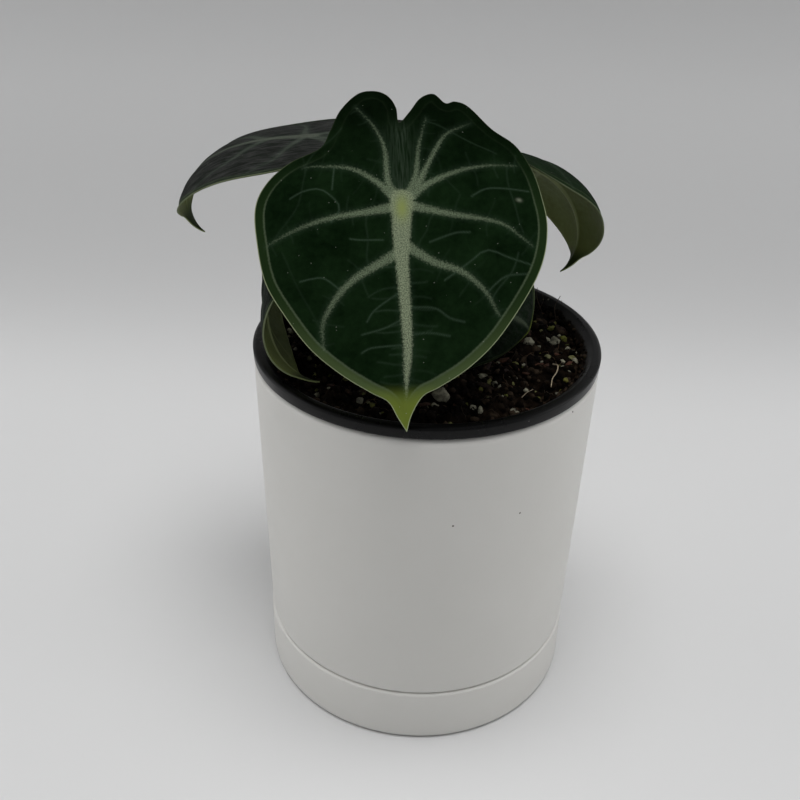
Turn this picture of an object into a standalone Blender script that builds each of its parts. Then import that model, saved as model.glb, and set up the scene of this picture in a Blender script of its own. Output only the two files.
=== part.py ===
"""Potted ninja alocasia: five leaves in a nursery pot that hangs in a white ceramic pot on its saucer.

Metres, +Z up. The pot's axis is the Z axis, the saucer stands on z = 0 and the plant's front faces -Y.
"""

from dataclasses import dataclass
import math
import random

import bmesh
import bpy
from mathutils import Vector
import numpy as np

# Sizes of the pots, in metres
GAP = 0.0003
SAUCER_RADIUS = 0.0524
SAUCER_HEIGHT = 0.0204
SAUCER_WALL = 0.0034
SAUCER_FLOOR = 0.0045
POT_FOOT_RADIUS = SAUCER_RADIUS - SAUCER_WALL - 0.0010
POT_SHOULDER_RADIUS = 0.0521
POT_TOP_RADIUS = 0.0538
POT_TOP = 0.1190
POT_WALL = 0.0044
POT_FLOOR_TOP = 0.0110
POT_DRAIN_RADIUS = 0.0065
LIP_RADIUS = 0.0540
LIP_INNER_RADIUS = 0.0504
LIP_BOTTOM = POT_TOP + GAP
LIP_TOP = 0.1231
LIP_SLOPE_FOOT = LIP_BOTTOM + 0.0007
NURSERY_TOP_RADIUS = 0.0490
NURSERY_FOOT_RADIUS = 0.0385
NURSERY_WALL = 0.0010
NURSERY_BOTTOM = 0.0160
NURSERY_DRAIN_RADIUS = 0.0035
NURSERY_DRAINS = 6
NURSERY_DRAIN_CIRCLE = 0.0240

# Sizes of the soil, in metres
SOIL_LEVEL = 0.1192
SOIL_WALL_DIP = 0.0010
SOIL_WALL_DEPTH = 0.0030
SOIL_REACH = 0.0425
LUMP_SPACING = 0.0042
STEMS_REACH = 0.0150
STEMS_MIDDLE = 0.0030
MOST_TRIES = 5000
SOIL_MOUND = 0.0018
SOIL_BACK_RISE = 0.0010
SOIL_ROUGHNESS = 0.0007
SOIL_RINGS = 8
GRAIN_COUNT = 28
BARK_COUNT = 10
STEM_HOLE_DEPTH = 0.0100

# Sizes of the leaves, in metres
BLADE_THICKNESS = 0.0008
BLADE_WAVE = 0.0004
BLADE_WAVES = 7
RIB_RADIUS = 0.0011
MIDRIB_ENDS = (-0.0190, 0.0520)
MIDRIB_DEPTH = 0.0004
MIDRIB_POINTS = 9
VEIN_DEPTH = 0.0003
VEIN_POINTS = 5
VEIN_TAPER = (0.80, 0.45)
COLLAR_HEIGHT = 0.0040
PETIOLE_POINTS = 10
PETIOLE_TOP_RADIUS = 0.0015
PETIOLE_FOOT_RADIUS = 0.0021
STEM_RADIUS = 0.0034
STEM_TOP = 0.1255
STEM_PLACE = (-0.0003, 0.0022)

# Units of the leaves' bends: degrees for each centimetre, growing over half a decimetre
CENTIMETRE = 0.01
FULL_LENGTH = 0.05
LEAST_CURL = 0.001

# How finely shapes are made
TURN_SEGMENTS = 40
CURVE_STEPS = 12
MIDRIB_STEP = 0.0020
MIDRIB_STEPS_AHEAD = 36
MIDRIB_STEPS_BEHIND = 22
NUDGE = 0.0002
SEED = 11

# Outline of a full-size blade: distance across and along from where the petiole joins, tip first
HALF_OUTLINE = (
    (0.0000, 0.0616),
    (0.0018, 0.0575),
    (0.0042, 0.0535),
    (0.0090, 0.0508),
    (0.0160, 0.0467),
    (0.0230, 0.0413),
    (0.0300, 0.0327),
    (0.0357, 0.0222),
    (0.0391, 0.0100),
    (0.0396, -0.0010),
    (0.0370, -0.0105),
    (0.0325, -0.0180),
    (0.0270, -0.0240),
    (0.0210, -0.0300),
    (0.0145, -0.0345),
    (0.0080, -0.0358),
    (0.0035, -0.0335),
    (0.0012, -0.0295),
)
SINUS = (0.0, -0.0250)

# The front blade's two sides differ: its left lobe has a waist, its right lobe a small notch
FRONT_LEFT_OUTLINE = (
    (0.0000, 0.0616),
    (0.0023, 0.0579),
    (0.0048, 0.0537),
    (0.0095, 0.0511),
    (0.0172, 0.0462),
    (0.0249, 0.0395),
    (0.0315, 0.0305),
    (0.0368, 0.0210),
    (0.0391, 0.0100),
    (0.0396, -0.0005),
    (0.0365, -0.0078),
    (0.0301, -0.0137),
    (0.0218, -0.0175),
    (0.0190, -0.0225),
    (0.0160, -0.0295),
    (0.0111, -0.0352),
    (0.0063, -0.0361),
    (0.0027, -0.0342),
    (0.0006, -0.0300),
)
FRONT_RIGHT_OUTLINE = (
    (0.0000, 0.0616),
    (0.0014, 0.0570),
    (0.0044, 0.0523),
    (0.0088, 0.0500),
    (0.0169, 0.0448),
    (0.0253, 0.0367),
    (0.0342, 0.0238),
    (0.0388, 0.0140),
    (0.0405, 0.0045),
    (0.0395, -0.0035),
    (0.0370, -0.0120),
    (0.0325, -0.0197),
    (0.0262, -0.0245),
    (0.0200, -0.0314),
    (0.0161, -0.0329),
    (0.0132, -0.0320),
    (0.0100, -0.0350),
    (0.0062, -0.0333),
    (0.0030, -0.0285),
)

# Main side veins of a full-size blade, as the outline is measured
SIDE_VEINS = (
    ((0.0020, -0.0040), (0.0050, -0.0130), (0.0078, -0.0220), (0.0125, -0.0300)),
    ((0.0030, -0.0020), (0.0110, -0.0085), (0.0205, -0.0120), (0.0300, -0.0120)),
    ((0.0030, 0.0010), (0.0140, 0.0022), (0.0240, 0.0045), (0.0345, 0.0095)),
    ((0.0010, 0.0130), (0.0120, 0.0190), (0.0205, 0.0275), (0.0240, 0.0375)),
)


@dataclass(frozen=True)
class Leaf:
    """One leaf: where its blade's junction is, how the blade lies and bends, and its petiole's course."""

    name: str
    junction: tuple
    heading: float
    pitch: float
    roll: float
    scale: float
    bend: tuple
    lobe_bend: float
    twist: tuple
    curl: tuple
    fold: float
    root: tuple
    petiole_drop: float
    petiole_lean: tuple
    left_outline: tuple = HALF_OUTLINE
    right_outline: tuple = HALF_OUTLINE
    spokes: int = 44
    rings: int = 4
    side_veins: tuple = SIDE_VEINS


# Angles in degrees, bending and curling in degrees for each centimetre, places in metres
LEAVES = (
    Leaf(
        name="leaf_front",
        junction=(-0.0081, -0.0222, 0.1739),
        heading=-84.1,
        pitch=-44.0,
        roll=0.0,
        scale=1.0,
        bend=(2.5, 0.0, 0.0),
        lobe_bend=3.0,
        twist=(0.0, 0.0),
        curl=(3.5, 0.0),
        fold=0.0,
        root=(-0.0062, 0.0048),
        petiole_drop=0.022,
        petiole_lean=(-0.004, 0.005),
        left_outline=FRONT_LEFT_OUTLINE,
        right_outline=FRONT_RIGHT_OUTLINE,
        spokes=60,
        rings=5,
    ),
    Leaf(
        name="leaf_left",
        junction=(-0.0398, 0.0282, 0.1766),
        heading=177.0,
        pitch=-6.0,
        roll=-6.0,
        scale=1.028,
        bend=(1.5, 9.5, 29.0),
        lobe_bend=1.7,
        twist=(0.7, 2.2),
        curl=(0.7, 2.8),
        fold=1.6,
        root=(-0.0020, 0.0088),
        petiole_drop=0.020,
        petiole_lean=(-0.004, 0.001),
    ),
    Leaf(
        name="leaf_right",
        junction=(0.0240, 0.0279, 0.1709),
        heading=18.3,
        pitch=-13.6,
        roll=19.0,
        scale=0.832,
        bend=(14.5, 0.2, 36.7),
        lobe_bend=3.6,
        twist=(-2.3, 2.1),
        curl=(16.2, 3.9),
        fold=-15.0,
        root=(0.0050, 0.0070),
        petiole_drop=0.020,
        petiole_lean=(0.004, 0.003),
    ),
    Leaf(
        name="leaf_low_left",
        junction=(-0.0463, -0.0115, 0.1495),
        heading=255.8,
        pitch=-46.0,
        roll=-58.5,
        scale=0.683,
        bend=(10.3, 14.4, 28.4),
        lobe_bend=3.0,
        twist=(-11.7, 5.1),
        curl=(20.7, -8.6),
        fold=-10.9,
        root=(-0.0070, -0.0010),
        petiole_drop=0.014,
        petiole_lean=(-0.006, 0.000),
        spokes=36,
        rings=4,
        side_veins=SIDE_VEINS[2:],
    ),
    Leaf(
        name="leaf_low_right",
        junction=(0.0110, -0.0179, 0.1462),
        heading=0.4,
        pitch=-22.4,
        roll=-51.2,
        scale=0.599,
        bend=(17.1, 11.1, 7.9),
        lobe_bend=3.0,
        twist=(-4.6, -0.3),
        curl=(9.2, 1.6),
        fold=11.7,
        root=(0.0065, 0.0000),
        petiole_drop=0.010,
        petiole_lean=(0.000, 0.002),
        spokes=36,
        rings=4,
        side_veins=SIDE_VEINS[2:],
    ),
)


def clear_scene():
    """Removes every object that the startup file holds."""
    for obj in list(bpy.data.objects):
        bpy.data.objects.remove(obj, do_unlink=True)


def make_material(name, colour, roughness):
    """A plain Principled material of one colour."""
    material = bpy.data.materials.new(name)
    material.use_nodes = True
    shader = material.node_tree.nodes["Principled BSDF"]
    shader.inputs["Base Color"].default_value = (*colour, 1.0)
    shader.inputs["Roughness"].default_value = roughness
    shader.inputs["Metallic"].default_value = 0.0
    return material


def make_object(name, points, faces, material):
    """An object of the given mesh, its faces turned outwards and shaded smooth."""
    mesh = bpy.data.meshes.new(name)
    mesh.from_pydata([tuple(point) for point in points], [], faces)
    shell = bmesh.new()
    shell.from_mesh(mesh)
    bmesh.ops.recalc_face_normals(shell, faces=shell.faces)
    shell.to_mesh(mesh)
    shell.free()
    mesh.shade_smooth()
    mesh.set_sharp_from_angle(angle=math.radians(40))
    mesh.materials.append(material)
    obj = bpy.data.objects.new(name, mesh)
    bpy.context.scene.collection.objects.link(obj)
    return obj


def combine(obj, others, operation):
    """Joins the others to the object, or cuts them from it, by one Boolean, and removes them."""
    helpers = bpy.data.collections.new(obj.name + "_helpers")
    bpy.context.scene.collection.children.link(helpers)
    for other in others:
        bpy.context.scene.collection.objects.unlink(other)
        helpers.objects.link(other)
    modifier = obj.modifiers.new(operation.lower(), "BOOLEAN")
    modifier.operation = operation
    modifier.operand_type = "COLLECTION"
    modifier.collection = helpers
    modifier.solver = "EXACT"
    graph = bpy.context.evaluated_depsgraph_get()
    joined = bpy.data.meshes.new_from_object(obj.evaluated_get(graph))
    obj.modifiers.clear()
    obj.data = joined
    for other in others:
        bpy.data.objects.remove(other, do_unlink=True)
    bpy.data.collections.remove(helpers)


def arc(centre_r, centre_z, radius, start, end, steps):
    """Points of a round edge in the (r, z) plane, angles in degrees from +r towards +z."""
    angles = np.radians(np.linspace(start, end, steps))
    return [(centre_r + radius * math.cos(a), centre_z + radius * math.sin(a)) for a in angles]


def turned(name, profile, material, segments=TURN_SEGMENTS):
    """A solid turned about Z. The profile is a loop of (r, z) points, and r = 0 lies on the axis."""
    points = []
    rings = []
    for radius, height in profile:
        start = len(points)
        if radius < 1e-9:
            points.append((0.0, 0.0, height))
            rings.append([start])
            continue
        for k in range(segments):
            angle = 2 * math.pi * k / segments
            points.append((radius * math.cos(angle), radius * math.sin(angle), height))
        rings.append(list(range(start, start + segments)))
    faces = []
    for ring, following in zip(rings, rings[1:] + rings[:1]):
        if len(ring) == 1 and len(following) == 1:
            continue
        for k in range(segments):
            m = (k + 1) % segments
            if len(ring) == 1:
                faces.append((ring[0], following[m], following[k]))
            elif len(following) == 1:
                faces.append((ring[k], ring[m], following[0]))
            else:
                faces.append((ring[k], ring[m], following[m], following[k]))
    return make_object(name, points, faces, material)


def tube(name, path, radii, material, sides=8):
    """A closed tube along the path, with flat ends. Its rings keep one direction as they turn."""
    path = np.asarray(path, float)
    tangents = np.gradient(path, axis=0)
    tangents /= np.linalg.norm(tangents, axis=1)[:, None]
    side = Vector(tangents[0]).orthogonal().normalized()
    points = []
    for place, tangent, radius in zip(path, tangents, radii):
        tangent = Vector(tangent)
        side = (side - tangent * side.dot(tangent)).normalized()
        other = tangent.cross(side)
        for k in range(sides):
            angle = 2 * math.pi * k / sides
            points.append(Vector(place) + (side * math.cos(angle) + other * math.sin(angle)) * radius)
    faces = [tuple(range(sides)), tuple(range(len(points) - sides, len(points)))]
    for i in range(len(path) - 1):
        for k in range(sides):
            m = (k + 1) % sides
            faces.append((i * sides + k, i * sides + m, (i + 1) * sides + m, (i + 1) * sides + k))
    return make_object(name, points, faces, material)


def smooth_line(points, count):
    """Points at equal steps along a Catmull-Rom curve through the given points."""
    points = np.asarray(points, float)
    padded = np.vstack([2 * points[0] - points[1], points, 2 * points[-1] - points[-2]])
    t = np.linspace(0, 1, CURVE_STEPS, endpoint=False)[:, None]
    pieces = []
    for a, b, c, d in zip(padded, padded[1:], padded[2:], padded[3:]):
        square = 2 * a - 5 * b + 4 * c - d
        cube = 3 * b - a - 3 * c + d
        pieces.append(0.5 * (2 * b + (c - a) * t + square * t**2 + cube * t**3))
    dense = np.vstack(pieces + [points[-1:]])
    length = np.concatenate([[0], np.cumsum(np.linalg.norm(np.diff(dense, axis=0), axis=1))])
    wanted = np.linspace(0, length[-1], count)
    return np.stack([np.interp(wanted, length, dense[:, i]) for i in range(dense.shape[1])], axis=1)


def leaf_frames(leaf):
    """Steps along the midrib from the junction: distance, place, direction, right-hand side and normal.

    The direction turns away from the normal by the leaf's bend, and the side turns about it by the twist.
    """
    heading, pitch, roll = (math.radians(v) for v in (leaf.heading, leaf.pitch, leaf.roll))
    ahead = Vector(
        (math.cos(heading) * math.cos(pitch), math.sin(heading) * math.cos(pitch), math.sin(pitch))
    )
    side = Vector((math.sin(heading), -math.cos(heading), 0.0))
    normal = side.cross(ahead)
    side, normal = (
        side * math.cos(roll) + normal * math.sin(roll),
        normal * math.cos(roll) - side * math.sin(roll),
    )
    halves = []
    for sign, count in ((1, MIDRIB_STEPS_AHEAD), (-1, MIDRIB_STEPS_BEHIND)):
        place, t, x, n = Vector(leaf.junction), ahead.copy(), side.copy(), normal.copy()
        rows = [(0.0, *place, *t, *x, *n)]
        for i in range(count):
            middle = sign * (i + 0.5) * MIDRIB_STEP / FULL_LENGTH
            if sign > 0:
                bend = leaf.bend[0] + leaf.bend[1] * middle + leaf.bend[2] * middle**2
            else:
                bend = leaf.lobe_bend
            turn = math.radians(bend) * sign * MIDRIB_STEP / CENTIMETRE
            twist = leaf.twist[0] + leaf.twist[1] * middle
            twist = math.radians(twist) * sign * MIDRIB_STEP / CENTIMETRE
            following = t * math.cos(turn) - n * math.sin(turn)
            n = n * math.cos(turn) + t * math.sin(turn)
            place = place + (t + following) * (sign * MIDRIB_STEP / 2)
            t = following
            x, n = x * math.cos(twist) + n * math.sin(twist), n * math.cos(twist) - x * math.sin(twist)
            rows.append((sign * (i + 1) * MIDRIB_STEP, *place, *t, *x, *n))
        halves.append(rows)
    return np.array(halves[1][:0:-1] + halves[0])


def on_blade(leaf, across, along):
    """Places of points of the blade's middle surface, from their distance across and along it.

    Across the midrib the blade starts at the fold's angle and bends down by the curl.
    """
    rows = leaf_frames(leaf)
    at = np.stack([np.interp(along, rows[:, 0], rows[:, i]) for i in range(1, 13)], axis=-1)
    curl = np.radians(leaf.curl[0] + leaf.curl[1] * along / FULL_LENGTH) / CENTIMETRE
    curl = np.where(np.abs(curl) < LEAST_CURL, LEAST_CURL, curl)
    fold = math.radians(leaf.fold)
    slope = fold + curl * np.abs(across)
    sideways = np.sign(across) * (np.sin(slope) - math.sin(fold)) / curl
    down = (math.cos(fold) - np.cos(slope)) / curl
    return at[..., 0:3] + at[..., 6:9] * sideways[..., None] - at[..., 9:12] * down[..., None]


def blade_outline(leaf, count):
    """Points round the blade's edge, from the tip down its left side, through the sinus and back."""
    left = [(a, b) for a, b in leaf.left_outline]
    right = [(-a, b) for a, b in leaf.right_outline]
    loop = left + [SINUS] + right[::-1]
    return smooth_line(loop, count + 1)[:-1] * leaf.scale


def blade_normals(leaf, across, along):
    """The blade's upper normals, from two short steps on its middle surface."""
    over = on_blade(leaf, across + NUDGE, along) - on_blade(leaf, across - NUDGE, along)
    ahead = on_blade(leaf, across, along + NUDGE) - on_blade(leaf, across, along - NUDGE)
    normal = np.cross(over, ahead)
    return normal / np.linalg.norm(normal, axis=1)[:, None]


def blade_points(leaf, outline):
    """Rings of points from the junction out to the edge, on the waved middle surface."""
    shares = np.linspace(0, 1, leaf.rings + 1)[1:]
    rings = shares[:, None, None] * outline[None]
    across = np.concatenate([[0.0], rings[..., 0].ravel()])
    along = np.concatenate([[0.0], rings[..., 1].ravel()])
    normal = blade_normals(leaf, across, along)
    angle = np.arctan2(across, along)
    reach = np.concatenate([[0.0], np.repeat(shares, len(outline))])
    # The waves start at another angle on a leaf of another scale
    lift = BLADE_WAVE * np.sin(BLADE_WAVES * angle + 9 * leaf.scale) * reach**3
    return on_blade(leaf, across, along) + normal * lift[:, None], normal


def blade(leaf, material):
    """The blade as a thin closed solid, split into triangles alike on both faces."""
    outline = blade_outline(leaf, leaf.spokes)
    middle, normal = blade_points(leaf, outline)
    count = len(middle)
    half = normal * (BLADE_THICKNESS / 2)
    points = np.vstack([middle + half, middle - half])
    spokes = leaf.spokes
    upper = []
    for k in range(spokes):
        m = (k + 1) % spokes
        upper.append((0, 1 + k, 1 + m))
        for ring in range(leaf.rings - 1):
            inner, outer = 1 + ring * spokes, 1 + (ring + 1) * spokes
            upper.append((inner + k, outer + k, outer + m))
            upper.append((inner + k, outer + m, inner + m))
    lower = [(a + count, c + count, b + count) for a, b, c in upper]
    edge = 1 + (leaf.rings - 1) * spokes
    rim = []
    for k in range(spokes):
        m = (k + 1) % spokes
        rim.append((edge + k, edge + k + count, edge + m + count))
        rim.append((edge + k, edge + m + count, edge + m))
    return make_object(leaf.name, points, upper + lower + rim, material)


def under_blade(leaf, across, along, depth):
    """Places below the blade's middle surface by the given depth."""
    return on_blade(leaf, across, along) - blade_normals(leaf, across, along) * depth


def ribs(leaf, material):
    """The midrib and the main side veins, raised on the underside and sunk into the blade."""
    made = []
    along = np.linspace(*MIDRIB_ENDS, MIDRIB_POINTS)
    shrink = np.clip(1.15 - np.abs(along) / 0.058, 0.35, 1.0)
    path = under_blade(leaf, np.zeros(MIDRIB_POINTS), along * leaf.scale, MIDRIB_DEPTH)
    made.append(tube(leaf.name + "_midrib", path, RIB_RADIUS * shrink, material, sides=5))
    for i, vein in enumerate(leaf.side_veins):
        line = smooth_line(vein, VEIN_POINTS) * leaf.scale
        for hand in (1, -1):
            path = under_blade(leaf, line[:, 0] * hand, line[:, 1], VEIN_DEPTH)
            radii = np.linspace(*VEIN_TAPER, VEIN_POINTS) * RIB_RADIUS
            made.append(tube(f"{leaf.name}_vein_{i}_{hand}", path, radii, material, sides=4))
    return made


def petiole_path(leaf):
    """The petiole's middle line: up out of the soil, then over to the junction's underside."""
    foot = np.array([*leaf.root, SOIL_LEVEL - STEM_HOLE_DEPTH + GAP])
    collar = np.array([*leaf.root, SOIL_LEVEL + COLLAR_HEIGHT])
    junction = np.zeros(1)
    top = under_blade(leaf, junction, junction, BLADE_THICKNESS / 4)[0]
    below = under_blade(leaf, junction, junction, leaf.petiole_drop)[0]
    lean = collar + np.array([*leaf.petiole_lean, (top[2] - collar[2]) * 0.45])
    t = np.linspace(0, 1, PETIOLE_POINTS)[:, None]
    curve = (1 - t) ** 3 * collar + 3 * (1 - t) ** 2 * t * lean + 3 * (1 - t) * t**2 * below + t**3 * top
    return np.vstack([foot, curve])


def make_leaf(leaf, material):
    """One leaf, with its blade, ribs and petiole grown as one piece."""
    obj = blade(leaf, material)
    path = petiole_path(leaf)
    radii = np.linspace(PETIOLE_FOOT_RADIUS, PETIOLE_TOP_RADIUS, len(path))
    petiole = tube(leaf.name + "_petiole", path, radii, material, sides=8)
    combine(obj, [petiole] + ribs(leaf, material), "UNION")
    return obj


def make_saucer(material):
    """A shallow straight cup with a flat underside and round edges."""
    edge = 0.0011
    foot = 0.0020
    inner = SAUCER_RADIUS - SAUCER_WALL
    profile = [(0.0, 0.0)]
    profile += arc(SAUCER_RADIUS - foot, foot, foot, -90, 0, 4)
    profile += arc(SAUCER_RADIUS - edge, SAUCER_HEIGHT - edge, edge, 0, 90, 3)
    profile += arc(inner + edge, SAUCER_HEIGHT - edge, edge, 90, 180, 3)
    profile += [(inner, SAUCER_FLOOR), (0.0, SAUCER_FLOOR)]
    return turned("saucer", profile, material)


def make_ceramic_pot(material):
    """The white pot: its foot stands inside the saucer, and its floor has a drain hole."""
    edge = 0.0008
    rim = 0.0020
    bottom = SAUCER_FLOOR + GAP
    shoulder = SAUCER_HEIGHT + GAP
    inner_top = POT_TOP_RADIUS - POT_WALL
    inner_foot = POT_FOOT_RADIUS - POT_WALL
    profile = [(POT_DRAIN_RADIUS, bottom), (POT_FOOT_RADIUS - 0.001, bottom)]
    profile += [(POT_FOOT_RADIUS, bottom + 0.001), (POT_FOOT_RADIUS, shoulder)]
    profile += arc(POT_SHOULDER_RADIUS - edge, shoulder + edge, edge, -90, 0, 3)
    profile += arc(POT_TOP_RADIUS - rim, POT_TOP - rim, rim, 0, 90, 5)
    profile += [(inner_top + 0.0006, POT_TOP), (inner_top, POT_TOP - 0.0006)]
    profile += [(inner_foot, POT_FLOOR_TOP), (POT_DRAIN_RADIUS, POT_FLOOR_TOP)]
    return turned("ceramic_pot", profile, material)


def nursery_inside(height):
    """The nursery pot's inner radius at a height, up to where its lip starts to slope outwards."""
    low = NURSERY_BOTTOM + NURSERY_WALL
    share = (height - low) / (LIP_SLOPE_FOOT - low)
    return NURSERY_FOOT_RADIUS - NURSERY_WALL + share * (NURSERY_TOP_RADIUS - NURSERY_FOOT_RADIUS)


def make_nursery_pot(material):
    """The thin black pot: its lip hangs on the white pot's rim, and its floor has drain holes."""
    edge = 0.0008
    floor_top = NURSERY_BOTTOM + NURSERY_WALL
    profile = [(0.0, NURSERY_BOTTOM), (NURSERY_FOOT_RADIUS, NURSERY_BOTTOM)]
    profile += [(NURSERY_TOP_RADIUS, LIP_BOTTOM), (LIP_RADIUS - 0.0004, LIP_BOTTOM)]
    profile += [(LIP_RADIUS, LIP_BOTTOM + 0.0004)]
    profile += arc(LIP_RADIUS - edge - 0.0002, LIP_TOP - edge, edge, 10, 90, 3)
    profile += arc(LIP_INNER_RADIUS + edge, LIP_TOP - edge, edge, 90, 180, 3)
    profile += [(nursery_inside(LIP_SLOPE_FOOT), LIP_SLOPE_FOOT)]
    profile += [(nursery_inside(floor_top), floor_top), (0.0, floor_top)]
    obj = turned("nursery_pot", profile, material)
    cutters = []
    for k in range(NURSERY_DRAINS):
        angle = 2 * math.pi * (k + 0.5) / NURSERY_DRAINS
        centre = Vector((math.cos(angle), math.sin(angle), 0.0)) * NURSERY_DRAIN_CIRCLE
        low = centre + Vector((0.0, 0.0, NURSERY_BOTTOM - 0.002))
        high = centre + Vector((0.0, 0.0, floor_top + 0.002))
        radii = [NURSERY_DRAIN_RADIUS] * 2
        cutters.append(tube(f"drain_{k}", [low, high], radii, material, sides=12))
    combine(obj, cutters, "DIFFERENCE")
    return obj


def soil_height(x, y):
    """The soil's level: a low mound that rises a little towards the back right."""
    share = 1 - (x * x + y * y) / LIP_INNER_RADIUS**2
    return SOIL_LEVEL + SOIL_MOUND * share + SOIL_BACK_RISE * (0.5 * x + 0.85 * y) / LIP_INNER_RADIUS


def soil_body(draw, material):
    """Soil from the nursery pot's floor up to a rough top that dips at the wall."""
    bottom = NURSERY_BOTTOM + NURSERY_WALL + GAP
    foot = nursery_inside(bottom) - GAP
    wall_z = SOIL_LEVEL - SOIL_WALL_DEPTH
    wall_r = nursery_inside(wall_z) - GAP
    points = [(0.0, 0.0, bottom)]
    rows = []
    for radius, height in ((foot, bottom), (wall_r, wall_z)):
        rows.append(len(points))
        for k in range(TURN_SEGMENTS):
            angle = 2 * math.pi * k / TURN_SEGMENTS
            points.append((radius * math.cos(angle), radius * math.sin(angle), height))
    for ring in range(SOIL_RINGS):
        rows.append(len(points))
        radius = wall_r * (1 - ring / SOIL_RINGS) - (0.0006 if ring == 0 else 0.0)
        for k in range(TURN_SEGMENTS):
            angle = 2 * math.pi * k / TURN_SEGMENTS
            x, y = radius * math.cos(angle), radius * math.sin(angle)
            lump = draw.uniform(-1, 1) * SOIL_ROUGHNESS * (ring > 0)
            points.append((x, y, soil_height(x, y) + lump - (SOIL_WALL_DIP if ring == 0 else 0.0)))
    top = len(points)
    points.append((0.0, 0.0, soil_height(0.0, 0.0)))
    faces = []
    for k in range(TURN_SEGMENTS):
        m = (k + 1) % TURN_SEGMENTS
        faces.append((0, rows[0] + m, rows[0] + k))
        faces.append((rows[-1] + k, rows[-1] + m, top))
        for row, following in zip(rows, rows[1:]):
            faces.append((row + k, row + m, following + m, following + k))
    return make_object("soil", points, faces, material)


def lump(name, place, size, turn, facets, material):
    """A faceted lump: a low icosphere, squashed and turned."""
    shell = bmesh.new()
    bmesh.ops.create_icosphere(shell, subdivisions=1, radius=1.0)
    for vertex in shell.verts:
        stretched = Vector((vertex.co.x * size[0], vertex.co.y * size[1], vertex.co.z * size[2]))
        stretched.rotate(turn)
        vertex.co = Vector(place) + stretched * (1 + 0.15 * math.sin(facets * vertex.index))
    points = [tuple(vertex.co) for vertex in shell.verts]
    faces = [tuple(vertex.index for vertex in face.verts) for face in shell.faces]
    shell.free()
    return make_object(name, points, faces, material)


def scattered(draw, count):
    """Seeded places on the soil, spaced apart, off the stems and the wall."""
    places = []
    tries = 0
    while len(places) < count and tries < MOST_TRIES:
        tries += 1
        radius = SOIL_REACH * math.sqrt(draw.random())
        angle = draw.uniform(0, 2 * math.pi)
        x, y = radius * math.cos(angle), radius * math.sin(angle)
        near = any(math.dist((x, y), other) < LUMP_SPACING for other in places)
        if not near and math.hypot(x, y - STEMS_MIDDLE) > STEMS_REACH:
            places.append((x, y))
    return places


def make_soil(material):
    """The soil with its perlite and bark lumps, and a plain hole for each petiole and the stem."""
    draw = random.Random(SEED)
    obj = soil_body(draw, material)
    pieces = []
    for i, (x, y) in enumerate(scattered(draw, GRAIN_COUNT + BARK_COUNT)):
        turn = Vector((0, 0, 1)).rotation_difference(
            Vector((draw.uniform(-1, 1), draw.uniform(-1, 1), draw.uniform(0.5, 2)))
        )
        if i < GRAIN_COUNT:
            size = draw.uniform(0.0011, 0.0021)
            sizes = (size, size * draw.uniform(0.75, 1.0), size * draw.uniform(0.7, 0.95))
        else:
            size = draw.uniform(0.0026, 0.0040)
            sizes = (size, size * 0.45, size * 0.3)
        place = (x, y, soil_height(x, y) + sizes[2] * 0.25)
        pieces.append(lump(f"lump_{i}", place, sizes, turn, i, material))
    combine(obj, pieces, "UNION")
    holes = []
    low = SOIL_LEVEL - STEM_HOLE_DEPTH
    high = SOIL_LEVEL + 2 * STEM_HOLE_DEPTH
    for leaf in LEAVES:
        path = [Vector((*leaf.root, low)), Vector((*leaf.root, high))]
        radii = [PETIOLE_FOOT_RADIUS + GAP] * 2
        holes.append(tube(leaf.name + "_hole", path, radii, material, sides=12))
    path = [Vector((*STEM_PLACE, low)), Vector((*STEM_PLACE, high))]
    holes.append(tube("stem_hole", path, [STEM_RADIUS + GAP] * 2, material, sides=12))
    combine(obj, holes, "DIFFERENCE")
    return obj


def make_stem(material):
    """The top of the corm, a short round stub between the petioles."""
    bottom = SOIL_LEVEL - STEM_HOLE_DEPTH + GAP
    x, y = STEM_PLACE
    heights = (bottom, SOIL_LEVEL, SOIL_LEVEL + 0.003, STEM_TOP - 0.001, STEM_TOP)
    shares = (1.0, 1.0, 0.95, 0.6, 0.25)
    path = [(x, y, z) for z in heights]
    return tube("stem", path, [STEM_RADIUS * share for share in shares], material, sides=12)


def main():
    """Builds every piece in place."""
    clear_scene()
    white = make_material("white_glaze", (0.62, 0.61, 0.59), 0.55)
    black = make_material("black_plastic", (0.012, 0.012, 0.013), 0.45)
    peat = make_material("peat", (0.035, 0.022, 0.014), 0.95)
    green = make_material("leaf_green", (0.012, 0.035, 0.014), 0.60)
    husk = make_material("stem_husk", (0.16, 0.13, 0.06), 0.80)
    make_saucer(white)
    make_ceramic_pot(white)
    make_nursery_pot(black)
    make_soil(peat)
    make_stem(husk)
    for leaf in LEAVES:
        make_leaf(leaf, green)


if __name__ == "__main__":
    main()
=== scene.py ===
"""Ninja alocasia in a nursery pot, hung in a white ceramic pot on its saucer.

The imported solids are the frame. Leaves, soil, stem and pots are replaced by finer surfaces that keep
their form: blades with relief and veins on both faces, crumbly peat with perlite, bark and fibres, and
turned pots with round edges. Lengths are metres, except where a name or comment says millimetres.
"""

import itertools
import logging
import math
from dataclasses import dataclass
from enum import Enum
from functools import reduce

import bpy
import numpy as np
from bpy.types import Material, NodeSocket, NodeTree, Object
from mathutils import Matrix, Vector

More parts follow.
